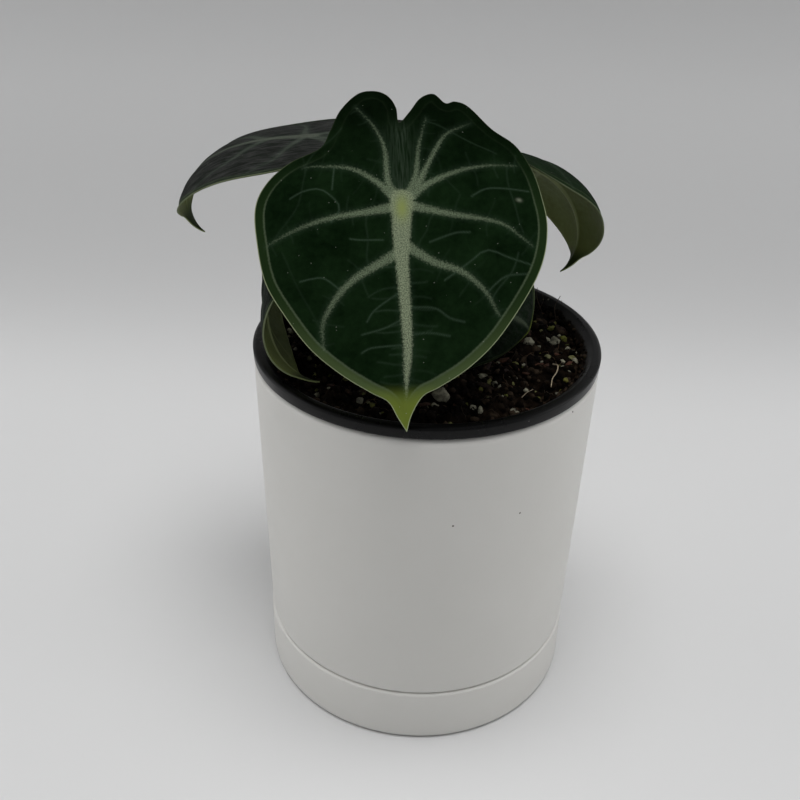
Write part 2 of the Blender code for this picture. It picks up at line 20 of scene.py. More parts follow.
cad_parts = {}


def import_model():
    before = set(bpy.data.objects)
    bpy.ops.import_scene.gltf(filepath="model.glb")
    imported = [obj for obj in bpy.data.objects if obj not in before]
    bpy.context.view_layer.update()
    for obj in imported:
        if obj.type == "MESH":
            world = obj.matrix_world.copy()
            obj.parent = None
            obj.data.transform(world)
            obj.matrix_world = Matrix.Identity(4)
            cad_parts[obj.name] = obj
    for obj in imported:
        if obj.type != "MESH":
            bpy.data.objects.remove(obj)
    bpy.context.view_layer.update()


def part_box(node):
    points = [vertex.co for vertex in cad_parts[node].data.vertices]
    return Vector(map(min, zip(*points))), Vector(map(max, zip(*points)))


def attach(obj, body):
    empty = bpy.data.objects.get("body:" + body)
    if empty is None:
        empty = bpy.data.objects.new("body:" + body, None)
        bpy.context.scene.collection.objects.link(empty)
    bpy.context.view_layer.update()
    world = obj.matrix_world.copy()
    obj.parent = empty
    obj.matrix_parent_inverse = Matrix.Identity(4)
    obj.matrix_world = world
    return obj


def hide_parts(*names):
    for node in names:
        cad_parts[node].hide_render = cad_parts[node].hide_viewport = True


LOG = logging.getLogger("alocasia")
BODY = "root"
MM = 0.001
SEED = 23
TURN = 2 * math.pi
# Left free between solids that touch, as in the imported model
GAP = 0.0003

Pair = tuple[float, float]
Place = tuple[float, float, float]
Colour = tuple[float, float, float]
Input = NodeSocket | float | tuple


# Arrays and noise

AXIS_PRIMES = np.array([73856093, 19349663, 83492791])
SEED_PRIME = 2654435761
MIXING_PRIME = 1274126177
HASH_BITS = 0xFFFFFF


def smoothstep(low: float, high: float, value: np.ndarray) -> np.ndarray:
    """Eases from 0 at low to 1 at high, as 3t squared less 2t cubed."""
    t = np.clip((value - low) / (high - low), 0.0, 1.0)
    return t * t * (3.0 - 2.0 * t)


def bell(value: np.ndarray, width: float) -> np.ndarray:
    """A bell curve: 1 at zero, and 1/e at the width."""
    return np.exp(-((value / width) ** 2))


def value_noise(points: np.ndarray, scale: float, seed: int) -> np.ndarray:
    """Smooth random values between -1 and 1.

    Each corner of a cubic lattice gets a value hashed from its whole-number place, and a point takes the
    eased mean of its cell's eight corners.

    Args:
        points: places, one row each.
        scale: the lattice's cell.
        seed: another seed gives another pattern.

    Returns:
        One value for each point.
    """
    place = points / scale
    cell = np.floor(place).astype(np.int64)
    share = place - cell
    share = share * share * (3.0 - 2.0 * share)
    total = np.zeros(len(points))
    for corner in itertools.product((0, 1), repeat=3):
        mixed = np.bitwise_xor.reduce((cell + np.array(corner)) * AXIS_PRIMES, axis=1) ^ (seed * SEED_PRIME)
        mixed = (mixed ^ (mixed >> 13)) * MIXING_PRIME
        mixed = (mixed ^ (mixed >> 16)) & HASH_BITS
        weight = np.prod(np.where(corner, share, 1.0 - share), axis=1)
        total += weight * (mixed / float(HASH_BITS // 2) - 1.0)
    return total


def crumble(points: np.ndarray, scale: float, octaves: int, seed: int) -> np.ndarray:
    """Rounded lumps with creases: the absolute value of noise, summed over halving scales.

    Args:
        points: places, one row each.
        scale: the largest lumps' size.
        octaves: how many scales are summed.
        seed: another seed gives another pattern.

    Returns:
        Values from about 0 in the creases to 1 on the lumps.
    """
    total = np.zeros(len(points))
    for i in range(octaves):
        total += np.abs(value_noise(points, scale / 2**i, seed + i)) / 1.7**i
    return total


def through(points: list | tuple | np.ndarray, count: int) -> np.ndarray:
    """Points at equal steps along a Catmull-Rom curve through the given points.

    Args:
        points: the curve's own points.
        count: how many points to return.

    Returns:
        An array of count rows.
    """
    knots = np.asarray(points, float)
    padded = np.vstack([2 * knots[0] - knots[1], knots, 2 * knots[-1] - knots[-2]])
    a, b, c, d = (padded[i : len(padded) - 3 + i, None, :] for i in range(4))
    t = np.linspace(0.0, 1.0, 24, endpoint=False)[None, :, None]
    square = 2 * a - 5 * b + 4 * c - d
    cube = 3 * b - a - 3 * c + d
    dense = 0.5 * (2 * b + (c - a) * t + square * t**2 + cube * t**3)
    dense = np.vstack([dense.reshape(-1, knots.shape[1]), knots[-1:]])
    length = np.concatenate([[0.0], np.cumsum(np.linalg.norm(np.diff(dense, axis=0), axis=1))])
    wanted = np.linspace(0.0, length[-1], count)
    return np.stack([np.interp(wanted, length, column) for column in dense.T], axis=1)


def unit(vectors: np.ndarray) -> np.ndarray:
    """The vectors at length one."""
    return vectors / np.linalg.norm(vectors, axis=-1, keepdims=True)


# Surfaces


@dataclass
class Surface:
    """A triangle mesh as arrays, with named values at its points and a finish number for each face."""

    points: np.ndarray
    faces: np.ndarray
    fields: dict[str, np.ndarray]
    finish: np.ndarray | None = None

    def piece(self, name: str, finishes: list[Material], slot: str, replaces: str = "") -> Object:
        """Makes the mesh an object that rides on the plant's one body.

        Args:
            name: the object's name.
            finishes: its materials, in the order of the faces' finish numbers.
            slot: not used.
            replaces: the frame's solid that it stands in for, if any.

        Returns:
            The new object.
        """
        mesh = bpy.data.meshes.new(name)
        mesh.vertices.add(len(self.points))
        mesh.vertices.foreach_set("co", self.points.astype(np.float32).ravel())
        mesh.loops.add(self.faces.size)
        mesh.loops.foreach_set("vertex_index", self.faces.astype(np.int32).ravel())
        mesh.polygons.add(len(self.faces))
        mesh.polygons.foreach_set("loop_start", np.arange(0, self.faces.size, 3, dtype=np.int32))
        if self.finish is not None:
            mesh.polygons.foreach_set("material_index", self.finish.astype(np.int32))
        mesh.update(calc_edges=True)
        mesh.validate()
        mesh.shade_smooth()
        for key, values in self.fields.items():
            kind, part = ("FLOAT", "value") if values.ndim == 1 else ("FLOAT_VECTOR", "vector")
            layer = mesh.attributes.new(key, kind, "POINT")
            layer.data.foreach_set(part, values.astype(np.float32).ravel())
        for finish in finishes:
            mesh.materials.append(finish)
        obj = bpy.data.objects.new(name, mesh)
        bpy.context.scene.collection.objects.link(obj)
        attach(obj, BODY)
        if replaces:
            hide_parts(replaces)
        LOG.info("%s: %d triangles", name, len(self.faces))
        return obj


def joined(surfaces: list[Surface]) -> Surface:
    """One surface of several, their faces renumbered in order.

    Args:
        surfaces: the parts, which hold the same fields.

    Returns:
        The whole.
    """
    starts = np.cumsum([0] + [len(s.points) for s in surfaces[:-1]])
    return Surface(
        np.vstack([s.points for s in surfaces]),
        np.vstack([s.faces + start for s, start in zip(surfaces, starts)]),
        {key: np.concatenate([s.fields[key] for s in surfaces]) for key in surfaces[0].fields},
    )


def quads(a: np.ndarray, b: np.ndarray, c: np.ndarray, d: np.ndarray) -> np.ndarray:
    """Two triangles for each four-sided face, from the point numbers of its corners in turn."""
    return np.vstack([np.stack([a, b, c], 1), np.stack([a, c, d], 1)])


def fillet(corners: list[Place], steps: int = 8) -> np.ndarray:
    """A closed profile whose corners are rounded by quadratic curves.

    Args:
        corners: (r, z, radius) of each corner in turn; radius 0 keeps a corner sharp.
        steps: points on each rounded corner.

    Returns:
        The profile's (r, z) points.
    """
    rows = []
    for i, (r, z, radius) in enumerate(corners):
        corner = np.array([r, z])
        if radius <= 0:
            rows.append(corner[None])
            continue
        back = unit(np.array(corners[i - 1][:2]) - corner)
        ahead = unit(np.array(corners[(i + 1) % len(corners)][:2]) - corner)
        t = np.linspace(0, 1, steps)[:, None]
        start, end = corner + back * radius, corner + ahead * radius
        rows.append((1 - t) ** 2 * start + 2 * t * (1 - t) * corner + t**2 * end)
    return np.vstack(rows)


def turned(profile: np.ndarray, segments: int) -> Surface:
    """A closed profile turned about Z: the point at angle q is (r cos q, r sin q, z).

    Args:
        profile: (r, z) points, up the outside and down the inside.
        segments: how many there are round the axis.

    Returns:
        The closed surface, with a ring of points for each profile point.
    """
    q = np.linspace(0, TURN, segments, endpoint=False)
    r, z = profile[:, :1], profile[:, 1:]
    points = np.stack([r * np.cos(q), r * np.sin(q), z + 0 * q], axis=-1).reshape(-1, 3)
    ring = np.arange(len(profile))[:, None] * segments
    following = np.roll(ring, -1, axis=0)
    k = np.arange(segments)[None]
    m = (k + 1) % segments
    corners = ring + k, ring + m, following + m, following + k
    return Surface(points, quads(*(v.ravel() for v in corners)), {})


def tube(path: np.ndarray, radii: np.ndarray, sides: int) -> Surface:
    """A closed tube along a path, its ends drawn in to a point.

    Each ring lies across the path's own direction; its first point starts from one fixed direction and is
    laid square to the path again at every ring.

    Args:
        path: the middle line's points.
        radii: the radius at each point.
        sides: points in a ring.

    Returns:
        The surface.
    """
    along = unit(np.gradient(path, axis=0))
    start = np.array([0.31, 0.17, 0.93]) if abs(along[0, 2]) < 0.7 else np.array([0.93, 0.17, 0.31])
    side = unit(np.cross(along, np.cross(start, along)))
    other = np.cross(along, side)
    q = np.linspace(0, TURN, sides, endpoint=False)[None, :, None]
    rings = path[:, None] + radii[:, None, None] * (side[:, None] * np.cos(q) + other[:, None] * np.sin(q))
    points = np.vstack([rings.reshape(-1, 3), path[:1], path[-1:]])
    i = np.arange(len(path) - 1)[:, None] * sides
    k = np.arange(sides)[None]
    m = (k + 1) % sides
    walls = quads(*(v.ravel() for v in (i + k, i + m, i + m + sides, i + k + sides)))
    last = (len(path) - 1) * sides
    first_cap = np.stack([m[0], k[0], np.full(sides, last + sides)], 1)
    last_cap = np.stack([last + k[0], last + m[0], np.full(sides, last + sides + 1)], 1)
    return Surface(points, np.vstack([walls, first_cap, last_cap]), {})


class RingGrid:
    """Rings of points round a middle point, their count halving each time the radius halves."""

    HALVINGS = 4

    def __init__(self, outer: int, rings: int) -> None:
        """Lays out the rings.

        Args:
            outer: points on the outermost ring, a multiple of 2 to the power of HALVINGS.
            rings: how many rings there are.
        """
        share = np.arange(1, rings + 1) / rings
        steps = np.minimum(np.floor(np.log2(1.0 / share) + 1e-9).astype(int), self.HALVINGS)
        self.outer = outer
        self.counts = outer >> steps
        self.starts = 1 + np.concatenate([[0], np.cumsum(self.counts)[:-1]])
        self.spoke = np.concatenate([[0]] + [np.arange(n) * (outer // n) for n in self.counts])
        self.share = np.concatenate([[0.0]] + [np.full(n, s) for n, s in zip(self.counts, share)])
        self.edge = self.starts[-1] + np.arange(outer)

    def faces(self) -> np.ndarray:
        """The triangles, each turned from spoke k to spoke k + 1 as seen from the middle point.

        Returns:
            Point numbers, one row for each triangle.
        """
        k = np.arange(self.counts[0])
        rows = [np.stack([0 * k, 1 + k, 1 + np.roll(k, -1)], 1)]
        for i, (n, following) in enumerate(zip(self.counts, self.counts[1:])):
            k = np.arange(n)
            m = (k + 1) % n
            a, b = self.starts[i] + k, self.starts[i] + m
            start = self.starts[i + 1]
            if n == following:
                rows.append(quads(a, start + k, start + m, b))
                continue
            c, middle, d = start + 2 * k, start + 2 * k + 1, start + (2 * k + 2) % following
            rows += [np.stack(corners, 1) for corners in ([a, c, middle], [a, middle, b], [b, middle, d])]
        return np.vstack(rows)


# Shading


class Graph:
    """Short hands for wiring a node tree. An Input is a plain value or another node's output."""

    def __init__(self, tree: NodeTree) -> None:
        """Takes the tree to wire."""
        self.tree = tree

    def put(self, socket: NodeSocket, value: Input) -> None:
        """Links an output to the socket, or sets the socket's own value.

        Args:
            socket: the input socket.
            value: what it gets; a colour gets an alpha of one.
        """
        if isinstance(value, NodeSocket):
            self.tree.links.new(value, socket)
        else:
            socket.default_value = (*value, 1.0) if socket.type == "RGBA" else value

    def add(self, kind: str, inputs: dict, output: str | int = 0, **settings: object) -> NodeSocket:
        """Adds a node.

        Args:
            kind: its type.
            inputs: what its input sockets get, by name or number.
            output: the name or number of the output that is wanted.
            settings: its own options.

        Returns:
            The wanted output.
        """
        node = self.tree.nodes.new(kind)
        for key, value in settings.items():
            setattr(node, key, value)
        for key, value in inputs.items():
            self.put(node.inputs[key], value)
        return node.outputs[output]

    def maths(self, operation: str, *values: Input, clamp: bool = False) -> NodeSocket:
        """A Math node on one to three values."""
        return self.add("ShaderNodeMath", dict(enumerate(values)), operation=operation, use_clamp=clamp)

    def vector_maths(self, operation: str, *values: Input, output: str = "Vector") -> NodeSocket:
        """A Vector Math node on one or two vectors."""
        return self.add("ShaderNodeVectorMath", dict(enumerate(values)), output, operation=operation)

    def times(self, *values: Input) -> NodeSocket:
        """The product of the values."""
        return reduce(lambda a, b: self.maths("MULTIPLY", a, b), values)

    def without(self, value: Input) -> NodeSocket:
        """One less the value."""
        return self.maths("SUBTRACT", 1.0, value)

    def scaled(self, vector: Input, factor: float | Place) -> NodeSocket:
        """The vector times a number, or times a vector part by part."""
        return self.vector_maths("MULTIPLY", vector, factor if isinstance(factor, tuple) else (factor,) * 3)

    def between(self, value: Input, low: Input, high: Input) -> NodeSocket:
        """Eases from 0 at low to 1 at high."""
        inputs = {"Value": value, "From Min": low, "From Max": high}
        return self.add("ShaderNodeMapRange", inputs, "Result", interpolation_type="SMOOTHSTEP")

    def spread(self, value: Input, low: float, high: float) -> NodeSocket:
        """Maps 0 to 1 onto low to high."""
        return self.maths("MULTIPLY_ADD", value, high - low, low)

    def mix(self, share: Input, first: Input, second: Input) -> NodeSocket:
        """Mixes two colours."""
        return self.add("ShaderNodeMix", {"Factor": share, 6: first, 7: second}, 2, data_type="RGBA")

    def over(self, colour: Input, layer: Input, *shares: Input) -> NodeSocket:
        """Lays a layer over the colour, as dense as the product of the shares."""
        return self.mix(self.times(*shares), colour, layer)

    def noise(self, vector: Input, scale: Input, detail: float = 3.0, rough: float = 0.55) -> NodeSocket:
        """Noise from 0 to 1 round a half."""
        inputs = {"Vector": vector, "Scale": scale, "Detail": detail, "Roughness": rough}
        return self.add("ShaderNodeTexNoise", inputs, "Fac")

    def field(self, name: str, output: str = "Fac") -> NodeSocket:
        """A value that the mesh holds at its points, or a vector where the output is Vector."""
        return self.add("ShaderNodeAttribute", {}, output, attribute_type="GEOMETRY", attribute_name=name)

    def object_place(self) -> NodeSocket:
        """The place in the object's own coordinates."""
        return self.add("ShaderNodeTexCoord", {}, "Object")

    def part(self, vector: Input, axis: str) -> NodeSocket:
        """The vector's X, Y or Z."""
        return self.add("ShaderNodeSeparateXYZ", {0: vector}, axis)

    def bump(self, height: Input, distance: float, strength: float) -> NodeSocket:
        """A bumped normal from a height from 0 to 1."""
        inputs = {"Height": height, "Distance": distance, "Strength": strength}
        return self.add("ShaderNodeBump", inputs, "Normal")


class FinishGraph(Graph):
    """The graph of a new material with a Principled shader."""

    def __init__(self, name: str) -> None:
        """Adds the material.

        Args:
            name: its name.
        """
        self.made = bpy.data.materials.new(name)
        self.made.use_nodes = True
        super().__init__(self.made.node_tree)

    def material(self, **inputs: Input) -> Material:
        """Fills the shader's inputs.

        Args:
            inputs: what they get, by name, with underscores for spaces.

        Returns:
            The material.
        """
        shader = self.tree.nodes["Principled BSDF"]
        for key, value in inputs.items():
            self.put(shader.inputs[key.replace("_", " ")], value)
        return self.made


class SharedEffect(Enum):
    """Effects that more than one finish uses, each one node group."""

    SPECKS = "specks"
    MOTTLE = "mottle"
    FEATHER = "feather"

    def place(self, graph: Graph, vector: Input, **inputs: Input) -> NodeSocket:
        """Puts the effect's group into a material.

        Args:
            graph: the material's graph.
            vector: the coordinates that the effect is laid out in.
            inputs: values or outputs for the group's number sockets, by name.

        Returns:
            The group's mask.
        """
        group = bpy.data.node_groups.get(self.value) or EFFECT_BUILDERS[self](self.value)
        return graph.add("ShaderNodeGroup", {"Vector": vector, **inputs}, "Mask", node_tree=group)


def new_group(name: str, numbers: tuple[str, ...]) -> tuple[Graph, list[NodeSocket], NodeSocket]:
    """An empty effect with a Vector input, the named number inputs and a Mask output.

    Args:
        name: the group's name.
        numbers: names of its number inputs.

    Returns:
        Its graph, its inputs in order and the socket that takes the mask.
    """
    tree = bpy.data.node_groups.new(name, "ShaderNodeTree")
    tree.interface.new_socket("Vector", in_out="INPUT", socket_type="NodeSocketVector")
    for number in numbers:
        tree.interface.new_socket(number, in_out="INPUT", socket_type="NodeSocketFloat")
    tree.interface.new_socket("Mask", in_out="OUTPUT", socket_type="NodeSocketFloat")
    given = list(tree.nodes.new("NodeGroupInput").outputs)[: 1 + len(numbers)]
    return Graph(tree), given, tree.nodes.new("NodeGroupOutput").inputs["Mask"]


def specks_group(name: str) -> NodeTree:
    """Sparse round specks: near a cell's random point, and only in the share of cells named by Density.

    Args:
        name: the group's name.

    Returns:
        The group.
    """
    graph, (vector, scale, size, density), mask = new_group(name, ("Scale", "Size", "Density"))
    distance = graph.add("ShaderNodeTexVoronoi", {"Vector": vector, "Scale": scale}, "Distance")
    cell = graph.add("ShaderNodeSeparateColor", {0: distance.node.outputs["Color"]})
    near = graph.maths("LESS_THAN", distance, size)
    graph.put(mask, graph.times(near, graph.maths("LESS_THAN", cell, density)))
    return graph.tree


def mottle_group(name: str) -> NodeTree:
    """Blotches: broad noise and noise six times finer, summed and stretched by Contrast.

    Args:
        name: the group's name.

    Returns:
        The group.
    """
    graph, (vector, scale, contrast), mask = new_group(name, ("Scale", "Contrast"))
    total = 0.0
    for finer, weight in ((1.0, 0.65), (6.0, 0.35)):
        layer = graph.noise(vector, graph.times(scale, finer), 2.0, 0.5)
        total = graph.maths("MULTIPLY_ADD", layer, weight, total)
    stretched = graph.maths("MULTIPLY_ADD", graph.maths("SUBTRACT", total, 0.5), contrast, 0.5)
    graph.put(mask, graph.maths("MAXIMUM", graph.maths("MINIMUM", stretched, 1.0), 0.0))
    return graph.tree


def feather_group(name: str) -> NodeTree:
    """A vein's mask: 1 inside, 0 past its edge by Gap millimetres, which hairs of noise break up.

    Args:
        name: the group's name.

    Returns:
        The group.
    """
    graph, (vector, gap, soft, ragged), mask = new_group(name, ("Gap", "Soft", "Ragged"))
    hairs = graph.maths("SUBTRACT", graph.noise(vector, 1.7, 3.0, 0.7), 0.5)
    frayed = graph.maths("ADD", gap, graph.times(hairs, ragged))
    graph.put(mask, graph.without(graph.between(frayed, graph.times(soft, -0.5), soft)))
    return graph.tree


EFFECT_BUILDERS = {
    SharedEffect.SPECKS: specks_group,
    SharedEffect.MOTTLE: mottle_group,
    SharedEffect.FEATHER: feather_group,
}


@dataclass(frozen=True)
class GlazeFinish:
    """Matt white glaze: a dead-even white with a faint tooth, pin specks, crumbs and rubbed patches."""

    white: Colour = (0.665, 0.655, 0.626)
    shade: Colour = (0.628, 0.618, 0.586)
    speck: Colour = (0.10, 0.09, 0.075)
    roughness: float = 0.40
    crumbs: tuple[Place, ...] = (
        (0.0096, -0.0524, 0.0896), (0.0291, -0.0446, 0.0893), (0.0427, -0.0327, 0.1172)
    )
    crumb_radius: float = 0.00032

    def material(self) -> Material:
        """Builds the material.

        Returns:
            The material.
        """
        graph = FinishGraph("white_glaze")
        place = graph.object_place()
        blotch = SharedEffect.MOTTLE.place(graph, place, Scale=14.0, Contrast=1.6)
        rubbed = SharedEffect.MOTTLE.place(graph, place, Scale=32.0, Contrast=2.5)
        specks = SharedEffect.SPECKS.place(graph, place, Scale=95.0, Size=0.040, Density=0.085)
        for spot in self.crumbs:
            apart = graph.vector_maths("DISTANCE", place, spot, output="Value")
            specks = graph.maths("MAXIMUM", specks, graph.maths("LESS_THAN", apart, self.crumb_radius))
        swell, tooth = graph.noise(place, 60.0, 2.0), graph.noise(place, 900.0, 2.0)
        return graph.material(
            Base_Color=graph.mix(specks, graph.mix(blotch, self.white, self.shade), self.speck),
            Roughness=graph.spread(rubbed, self.roughness - 0.05, self.roughness + 0.07),
            Normal=graph.bump(graph.maths("MULTIPLY_ADD", swell, 3.0, tooth), 0.00003, 0.6),
            Specular_IOR_Level=0.55,
        )


@dataclass(frozen=True)
class PlasticFinish:
    """Thin black moulded plastic: satin, with drawn lines, painted highlight streaks along them, dust and
    crumbs of dried peat on it.

    The peat covers it inside soil_radius, along an uneven line, and is gone at clean_radius.
    """

    black: Colour = (0.0011, 0.0011, 0.0012)
    dust: Colour = (0.10, 0.095, 0.085)
    # Dust; the same colour is laid along the drawn lines as painted highlight streaks
    peat: Colour = (0.0050, 0.0034, 0.0024)
    roughness: float = 0.27
    soil_radius: float = 0.0496
    clean_radius: float = 0.0511
    lines_per_metre: float = 3200.0

    def material(self) -> Material:
        """Builds the material.

        Returns:
            The material.
        """
        graph = FinishGraph("black_plastic")
        place = graph.object_place()
        haze = SharedEffect.MOTTLE.place(graph, place, Scale=45.0, Contrast=3.0)
        specks = SharedEffect.SPECKS.place(graph, place, Scale=420.0, Size=0.16, Density=0.035)
        radius = graph.vector_maths("LENGTH", graph.scaled(place, (1.0, 1.0, 0.0)), output="Value")
        uneven = graph.maths("MULTIPLY_ADD", graph.noise(place, 500.0), 0.0016, radius)
        soiled = graph.without(graph.between(uneven, self.soil_radius, self.clean_radius))
        rounds = {
            "X": graph.times(radius, self.lines_per_metre),
            "Y": graph.times(graph.part(place, "X"), 45.0),
            "Z": graph.times(graph.part(place, "Z"), self.lines_per_metre),
        }
        drawn = graph.noise(graph.add("ShaderNodeCombineXYZ", rounds), 1.0, 2.0)
        colour = graph.over(self.black, self.dust, graph.maths("MAXIMUM", graph.times(haze, 0.008), specks))
        # Painted highlight: streaks of the dust colour along the drawn lines
        streak_highlights = graph.between(drawn, 0.60, 0.74), graph.between(haze, 0.35, 0.90)
        colour = graph.over(colour, self.dust, *streak_highlights, 0.22)
        rough = graph.spread(haze, self.roughness - 0.06, self.roughness + 0.16)
        return graph.material(
            Base_Color=graph.mix(soiled, colour, self.peat),
            Roughness=graph.maths("MAXIMUM", rough, soiled),
            Normal=graph.bump(drawn, 0.00003, 0.5),
            Specular_IOR_Level=0.17,
        )


@dataclass(frozen=True)
class VelvetFinish:
    """The blade's upper face: near-black green velvet with silvery feathered veins and a paler margin."""

    dark: Colour = (0.0016, 0.0056, 0.0015)
    light: Colour = (0.0064, 0.0172, 0.0056)
    # The next two colours are painted sheen: the grey of velvet seen edge-on, and its silvery streaks
    painted_sheen_base: Colour = (0.0090, 0.0085, 0.0090)
    painted_sheen: Colour = (0.044, 0.045, 0.043)
    # Painted sheen between the lobes, streaked along the blade
    cleft: Colour = (0.028, 0.042, 0.027)
    vein: Colour = (0.185, 0.220, 0.140)
    side_vein: Colour = (0.110, 0.141, 0.088)
    # Painted sheen: the grey that veins take on leaves seen edge-on
    painted_sheen_vein: Colour = (0.088, 0.092, 0.084)
    heart: Colour = (0.200, 0.240, 0.078)
    thread: Colour = (0.050, 0.080, 0.052)
    margin: Colour = (0.0110, 0.0230, 0.0070)
    low_margin: Colour = (0.054, 0.078, 0.030)
    margin_line: Colour = (0.080, 0.108, 0.062)
    margin_width: float = 2.55
    # Painted rim light: a thin pale line along the blade's edge
    painted_rim_light: Colour = (0.30, 0.345, 0.20)
    tip: Colour = (0.110, 0.143, 0.024)
    scar: Colour = (0.16, 0.18, 0.13)
    dust: Colour = (0.30, 0.32, 0.27)
    roughness: float = 0.62

    def ground(self, graph: Graph, place: NodeSocket, stipple: NodeSocket) -> NodeSocket:
        """The velvet between the veins: blotches, painted shade on the lobes, painted sheen streaked in the
        cleft, a grey painted sheen on leaves seen edge-on, and thin veins.

        Args:
            graph: the material's graph.
            place: the place on the flat plan in millimetres.
            stipple: fine grain.

        Returns:
            Its colour.
        """
        painted_sheen = graph.field("painted_sheen")
        blotch = SharedEffect.MOTTLE.place(graph, place, Scale=0.11, Contrast=2.3)
        colour = graph.mix(blotch, self.dark, self.light)
        # Painted shade: the colour is darkened to 0.42 towards the lobes
        ahead = graph.between(graph.part(place, "Y"), -34.0, -4.0)
        colour = graph.mix(ahead, graph.scaled(colour, 0.42), colour)
        # Painted sheen: leaves seen edge-on turn grey, then take silvery streaks
        colour = graph.over(colour, self.painted_sheen_base, painted_sheen)
        streaks = graph.noise(graph.scaled(place, (1.9, 0.16, 1.0)), 1.0, 2.0)
        # Painted sheen: a paler streaked colour between the lobes
        colour = graph.over(colour, self.cleft, graph.field("cleft"), graph.between(streaks, 0.30, 0.68))
        sheen_streaks = graph.noise(graph.scaled(place, (0.60, 0.17, 1.0)), 1.0, 5.0, 0.70)
        colour = graph.over(colour, self.painted_sheen, painted_sheen, graph.between(sheen_streaks, 0.38, 0.68))
        threads = graph.maths("MULTIPLY", graph.field("thread"), graph.spread(stipple, 0.1, 1.7), clamp=True)
        return graph.over(colour, self.thread, threads, graph.spread(painted_sheen, 1.0, -0.2))

    def bordered(self, graph: Graph, place: NodeSocket, colour: NodeSocket) -> NodeSocket:
        """Lays on the paler margin and the thin line on its inner side.

        Args:
            graph: the material's graph.
            place: the place on the flat plan in millimetres.
            colour: what lies under them.

        Returns:
            The colour with them.
        """
        edge, rimmed = graph.field("edge_gap"), graph.field("rimmed")
        margin = graph.mix(graph.field("low"), self.margin, self.low_margin)
        colour = graph.over(colour, margin, graph.without(graph.between(edge, 2.1, 2.9)), rimmed)
        off_line = graph.maths("ABSOLUTE", graph.maths("SUBTRACT", edge, self.margin_width))
        gap = graph.maths("SUBTRACT", off_line, 0.10)
        line = SharedEffect.FEATHER.place(graph, place, Gap=gap, Soft=0.42, Ragged=0.6)
        return graph.over(colour, self.margin_line, rimmed, line, 0.75)

    def veined(self, graph: Graph, place: NodeSocket, colour: NodeSocket, stipple: NodeSocket) -> NodeSocket:
        """Lays on the main veins, silvery and grainy, each in a faint halo, and yellower at the heart.

        Args:
            graph: the material's graph.
            place: the place on the flat plan in millimetres.
            colour: what lies under them.
            stipple: fine grain.

        Returns:
            The colour with them.
        """
        gap = graph.field("vein_gap")
        silver = graph.mix(graph.field("pale"), self.side_vein, self.vein)
        # Veins on leaves seen edge-on take the grey painted sheen
        silver = graph.mix(graph.field("painted_sheen"), silver, self.painted_sheen_vein)
        bright = graph.between(stipple, 0.34, 0.64)
        grainy = graph.mix(bright, graph.scaled(silver, 0.42), graph.scaled(silver, 1.34))
        halo = SharedEffect.FEATHER.place(graph, place, Gap=gap, Soft=2.2, Ragged=2.4)
        colour = graph.over(colour, self.thread, halo, 0.20)
        vein = SharedEffect.FEATHER.place(graph, place, Gap=gap, Soft=0.75, Ragged=2.3)
        vein = graph.times(vein, graph.field("shown"))
        colour = graph.over(colour, grainy, vein, 0.94)
        return graph.over(colour, self.heart, graph.field("heart"), vein)

    def material(self) -> Material:
        """Builds the material.

        Returns:
            The material.
        """
        graph = FinishGraph("velvet")
        place = graph.field("leaf_mm", "Vector")
        stipple = graph.noise(place, 2.9, 2.0, 0.7)
        colour = self.ground(graph, place, stipple)
        colour = self.bordered(graph, place, colour)
        colour = self.veined(graph, place, colour, stipple)
        colour = graph.over(colour, self.tip, graph.field("tip"))
        # Painted rim light along the edge
        painted_rim_light = graph.without(graph.between(graph.field("edge_gap"), 0.05, 0.32))
        colour = graph.over(colour, self.painted_rim_light, painted_rim_light, graph.field("rimmed"))
        colour = graph.over(colour, self.scar, graph.field("scar"))
        motes = SharedEffect.SPECKS.place(graph, place, Scale=0.62, Size=0.075, Density=0.16)
        nap = graph.maths("MULTIPLY_ADD", graph.noise(place, 11.0, 2.0, 0.7), 0.6, stipple)
        return graph.material(
            Base_Color=graph.over(colour, self.dust, motes, 0.5),
            Roughness=graph.spread(stipple, self.roughness - 0.08, self.roughness + 0.10),
            Normal=graph.bump(nap, 0.00012, 0.55),
            Specular_IOR_Level=0.008,
            Sheen_Weight=0.004,
            Sheen_Roughness=0.26,
            Sheen_Tint=(0.80, 0.86, 0.80),
        )


